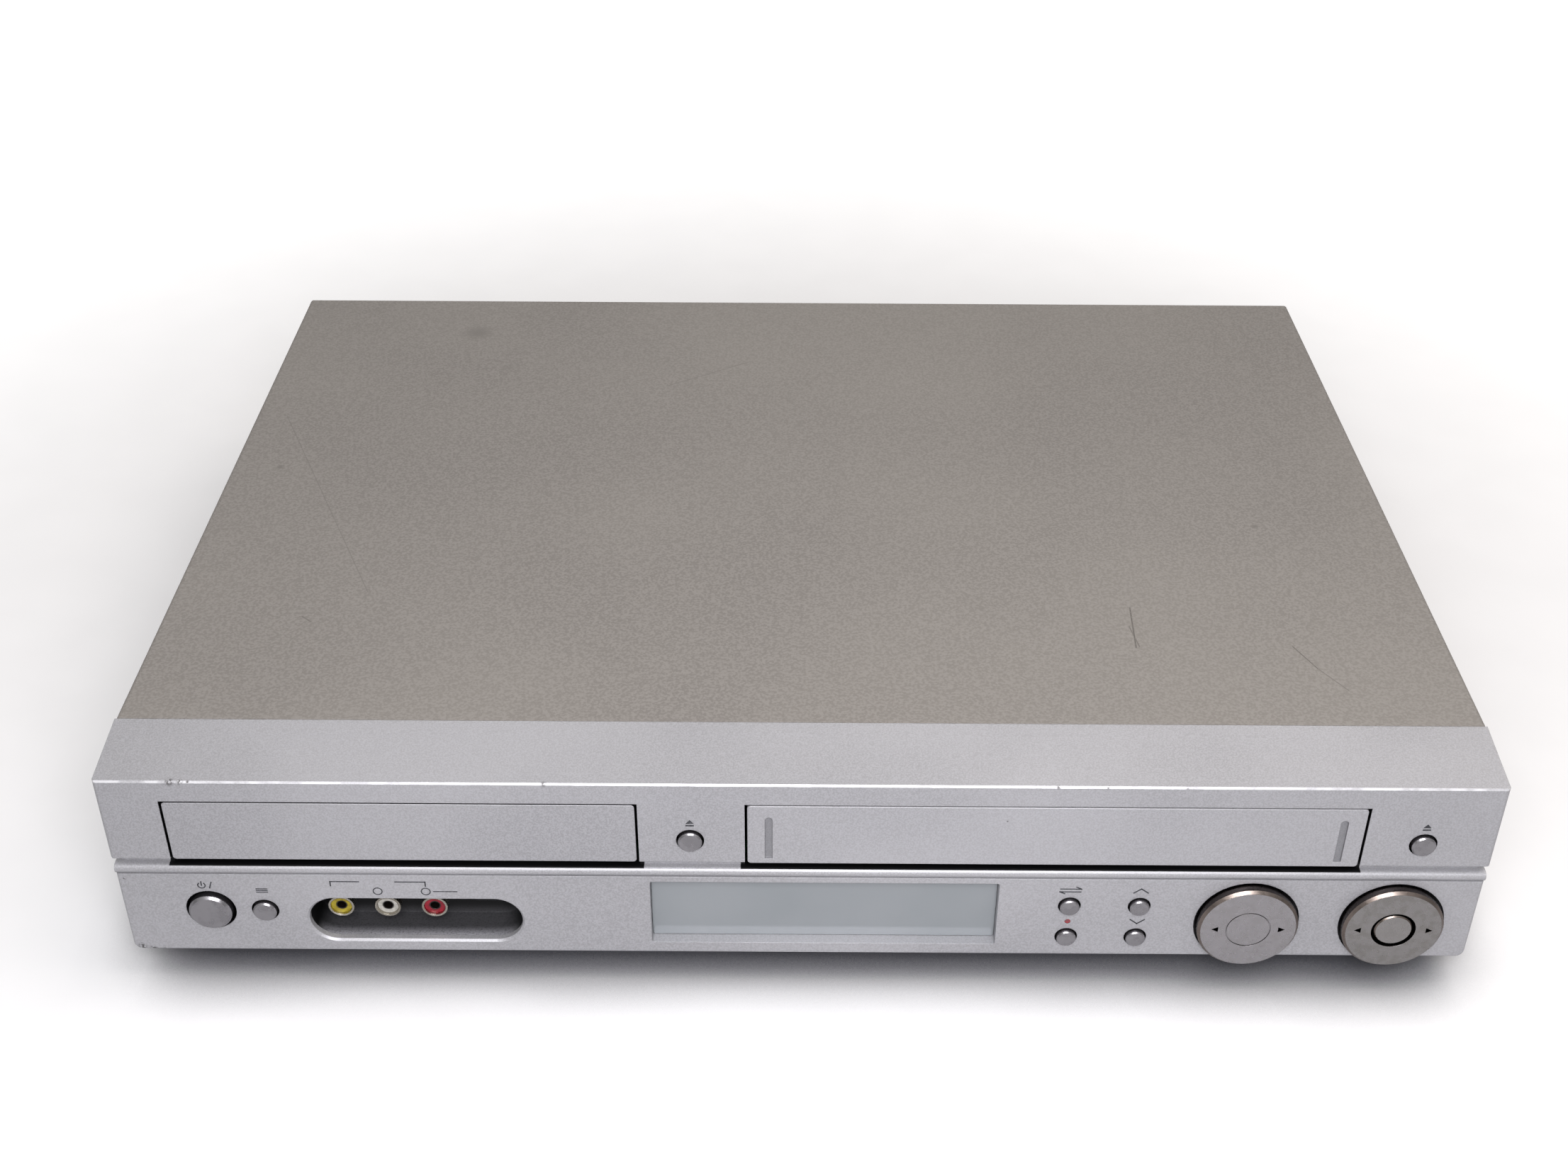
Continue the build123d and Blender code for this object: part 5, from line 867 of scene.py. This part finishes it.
# %% Marks on the upper fascia and the lower panel
for name, x in OPEN_SIGNS:
    print_mark(name, open_sign(x, OPEN_SIGN_Z, OPEN_SIGN_SIZE), FASCIA_Y)
standby = arc_band(*STANDBY_AT, STANDBY_RADIUS, LINE, *STANDBY_ARC)
print_mark("standby_sign", standby + strokes(STANDBY_LINES, LINE), PANEL_Y)
print_mark("scan_sign", strokes(SCAN_LINES, FINE_LINE), PANEL_Y)
bracket = strokes(BRACKET_ARMS, LINE) + stroke(BRACKET_DASH, FINE_LINE)
for x, z in BRACKET_RINGS:
    bracket += arc_band(x, z, BRACKET_RING_RADIUS, FINE_LINE)
print_mark("jack_bracket", bracket, PANEL_Y)
print_mark("source_sign", strokes(SWAP_LINES, LINE), PANEL_Y)
print_mark("record_dot", disc_outline(*RECORD_DOT_AT, RECORD_DOT_RADIUS), PANEL_Y, red_ink)
print_mark("channel_up_sign", stroke(UP_CHEVRON, CHEVRON_LINE), PANEL_Y)
print_mark("channel_down_sign", stroke(DOWN_CHEVRON, CHEVRON_LINE), PANEL_Y)
print("the printed marks are on the fascia and the panel")

# %% Arrows on the dials
ARROW_LENGTH, ARROW_HALF, ARROW_OUT = 2.2, 1.1, 1.3
ARROW_GAPS = (("copy_dial", 10.4), ("navigation_ring", 11.2))
faint_ink = ink("etched_grey_sign", "#A6A4A4", "#B0AEAE")
for body, sign_gap in ARROW_GAPS:
    at = middle(body) / MM
    for side, side_name in ((-1, "left"), (1, "right")):
        tip = at.x + side * (sign_gap + ARROW_OUT)
        tail = tip - side * ARROW_LENGTH
        arrow = [(tip, at.z), (tail, at.z + ARROW_HALF), (tail, at.z - ARROW_HALF)]
        # set back by the ink's thickness, so that it ends flush with the recorder's box
        print_mark(f"{body}_arrow_{side_name}", [arrow], cad_low.y + INK_MM * MM, faint_ink, body)
print("each dial carries two arrows")

# %% [markdown]
# ## The studio
#
# A white floor, a sky that is brighter overhead than at the horizon, as under a pale ceiling, and two large
# soft lamps: a cool one high in front, which lights the fascia, and a warm one overhead on the right, which
# gives the cover its soft sheen. The floor is white to the camera, but throws back only as much light as a
# grey cloth would, so that the undersides and the gaps stay dark. Close to the case it is shaded a little
# more, and far from it a weak glow stands for the lamps that light a backdrop. A picture of a studio could
# light the scene as well, but two lamps are easier to tune and need no file.

# %% Floor
FLOOR_HALF = 6.0
CONTACT_SHADE = 0.03                 # how far the shade round the case reaches, in metres
GLOW_FROM, GLOW_FULL, GLOW_MOST = 0.24, 0.7, 0.5
floor_mesh = bpy.data.meshes.new("studio_floor")
corners = [
    (-FLOOR_HALF, -FLOOR_HALF, 0), (FLOOR_HALF, -FLOOR_HALF, 0),
    (FLOOR_HALF, FLOOR_HALF, 0), (-FLOOR_HALF, FLOOR_HALF, 0),
]
floor_mesh.from_pydata(corners, [], [(0, 1, 2, 3)])
floor = bpy.data.objects.new("studio_floor", floor_mesh)
bpy.context.scene.collection.objects.link(floor)
floor_material, floor_tree, floor_shader, floor_where = start_material("pale_studio_floor", roughness=0.9)
mottle = grain(floor_tree, floor_where, 30.0)
floor_tone = lay_over(floor_tree, "#FCFCFC", "#FEFEFE", mottle, 0.3, 0.7)
shade = add(floor_tree, "ShaderNodeAmbientOcclusion", {"Distance": CONTACT_SHADE}, samples=8).outputs["AO"]
floor_tone = lay_over(floor_tree, "#4C4C52", floor_tone, shade, 0.25, 1.0)
seen = add(floor_tree, "ShaderNodeLightPath").outputs["Is Camera Ray"]
away = add(floor_tree, "ShaderNodeVectorMath", {0: floor_where}, operation="LENGTH").outputs["Value"]
glow_reach = {0: away, 1: GLOW_FROM, 2: GLOW_FULL, 4: GLOW_MOST}
far_glow = add(floor_tree, "ShaderNodeMapRange", glow_reach, **SOFTLY).outputs[0]
glow = overlap(floor_tree, seen, far_glow)
floor_shader.inputs["Emission Color"].default_value = linear("#FFFFFF")
floor_tree.links.new(glow, floor_shader.inputs["Emission Strength"])
floor_tone = lay_over(floor_tree, "#B4B4B6", floor_tone, seen)
floor_tree.links.new(floor_tone, floor_shader.inputs["Base Color"])
floor_mesh.materials.append(floor_material)
print("the floor is", 2 * FLOOR_HALF, "m wide")


# %% Lamps and sky
def soft_lamp(name, at, aim, size, watts, colour, spread=180):
    """A square area lamp that looks at a point.

    A smaller spread, in degrees, keeps the light nearer its axis.
    """
    data = bpy.data.lights.new(name, "AREA")
    data.size = size
    data.energy = watts
    data.spread = math.radians(spread)
    data.color = linear(colour)[:3]
    lamp = bpy.data.objects.new(name, data)
    lamp.location = at
    lamp.rotation_euler = (Vector(aim) - Vector(at)).to_track_quat("-Z", "Y").to_euler()
    bpy.context.scene.collection.objects.link(lamp)
    return lamp


soft_lamp(
    "front_softbox", at=(0.02, -0.78, 0.6), aim=(0.0, -0.1, 0.05), size=0.5, watts=2.4, colour="#FCFBFF",
    spread=100,
)
soft_lamp(
    "overhead_softbox", at=(0.45, 0.0, 1.1), aim=(0.0, 0.0, 0.05), size=0.8, watts=2.8, colour="#FFF4EA",
)
SKY_HORIZON, SKY_OVERHEAD = 0.28, 0.62
SKY_TOP_FROM = 0.9                   # the height, of 1, at which the sky is brightest
sky = bpy.data.worlds.new("studio_sky")
sky.use_nodes = True
sky_tree = sky.node_tree
upward = add(sky_tree, "ShaderNodeSeparateXYZ", {0: add(sky_tree, "ShaderNodeTexCoord").outputs["Generated"]})
sky_tree.nodes["Background"].inputs["Color"].default_value = linear("#F4F3F3")
sky_reach = {0: upward.outputs["Z"], 2: SKY_TOP_FROM, 3: SKY_HORIZON, 4: SKY_OVERHEAD}
brightness = add(sky_tree, "ShaderNodeMapRange", sky_reach, **SOFTLY).outputs[0]
sky_tree.links.new(brightness, sky_tree.nodes["Background"].inputs["Strength"])
bpy.context.scene.world = sky
bpy.context.scene.view_settings.view_transform = "Standard"
print("lamps:", [light.name for light in bpy.data.lights])
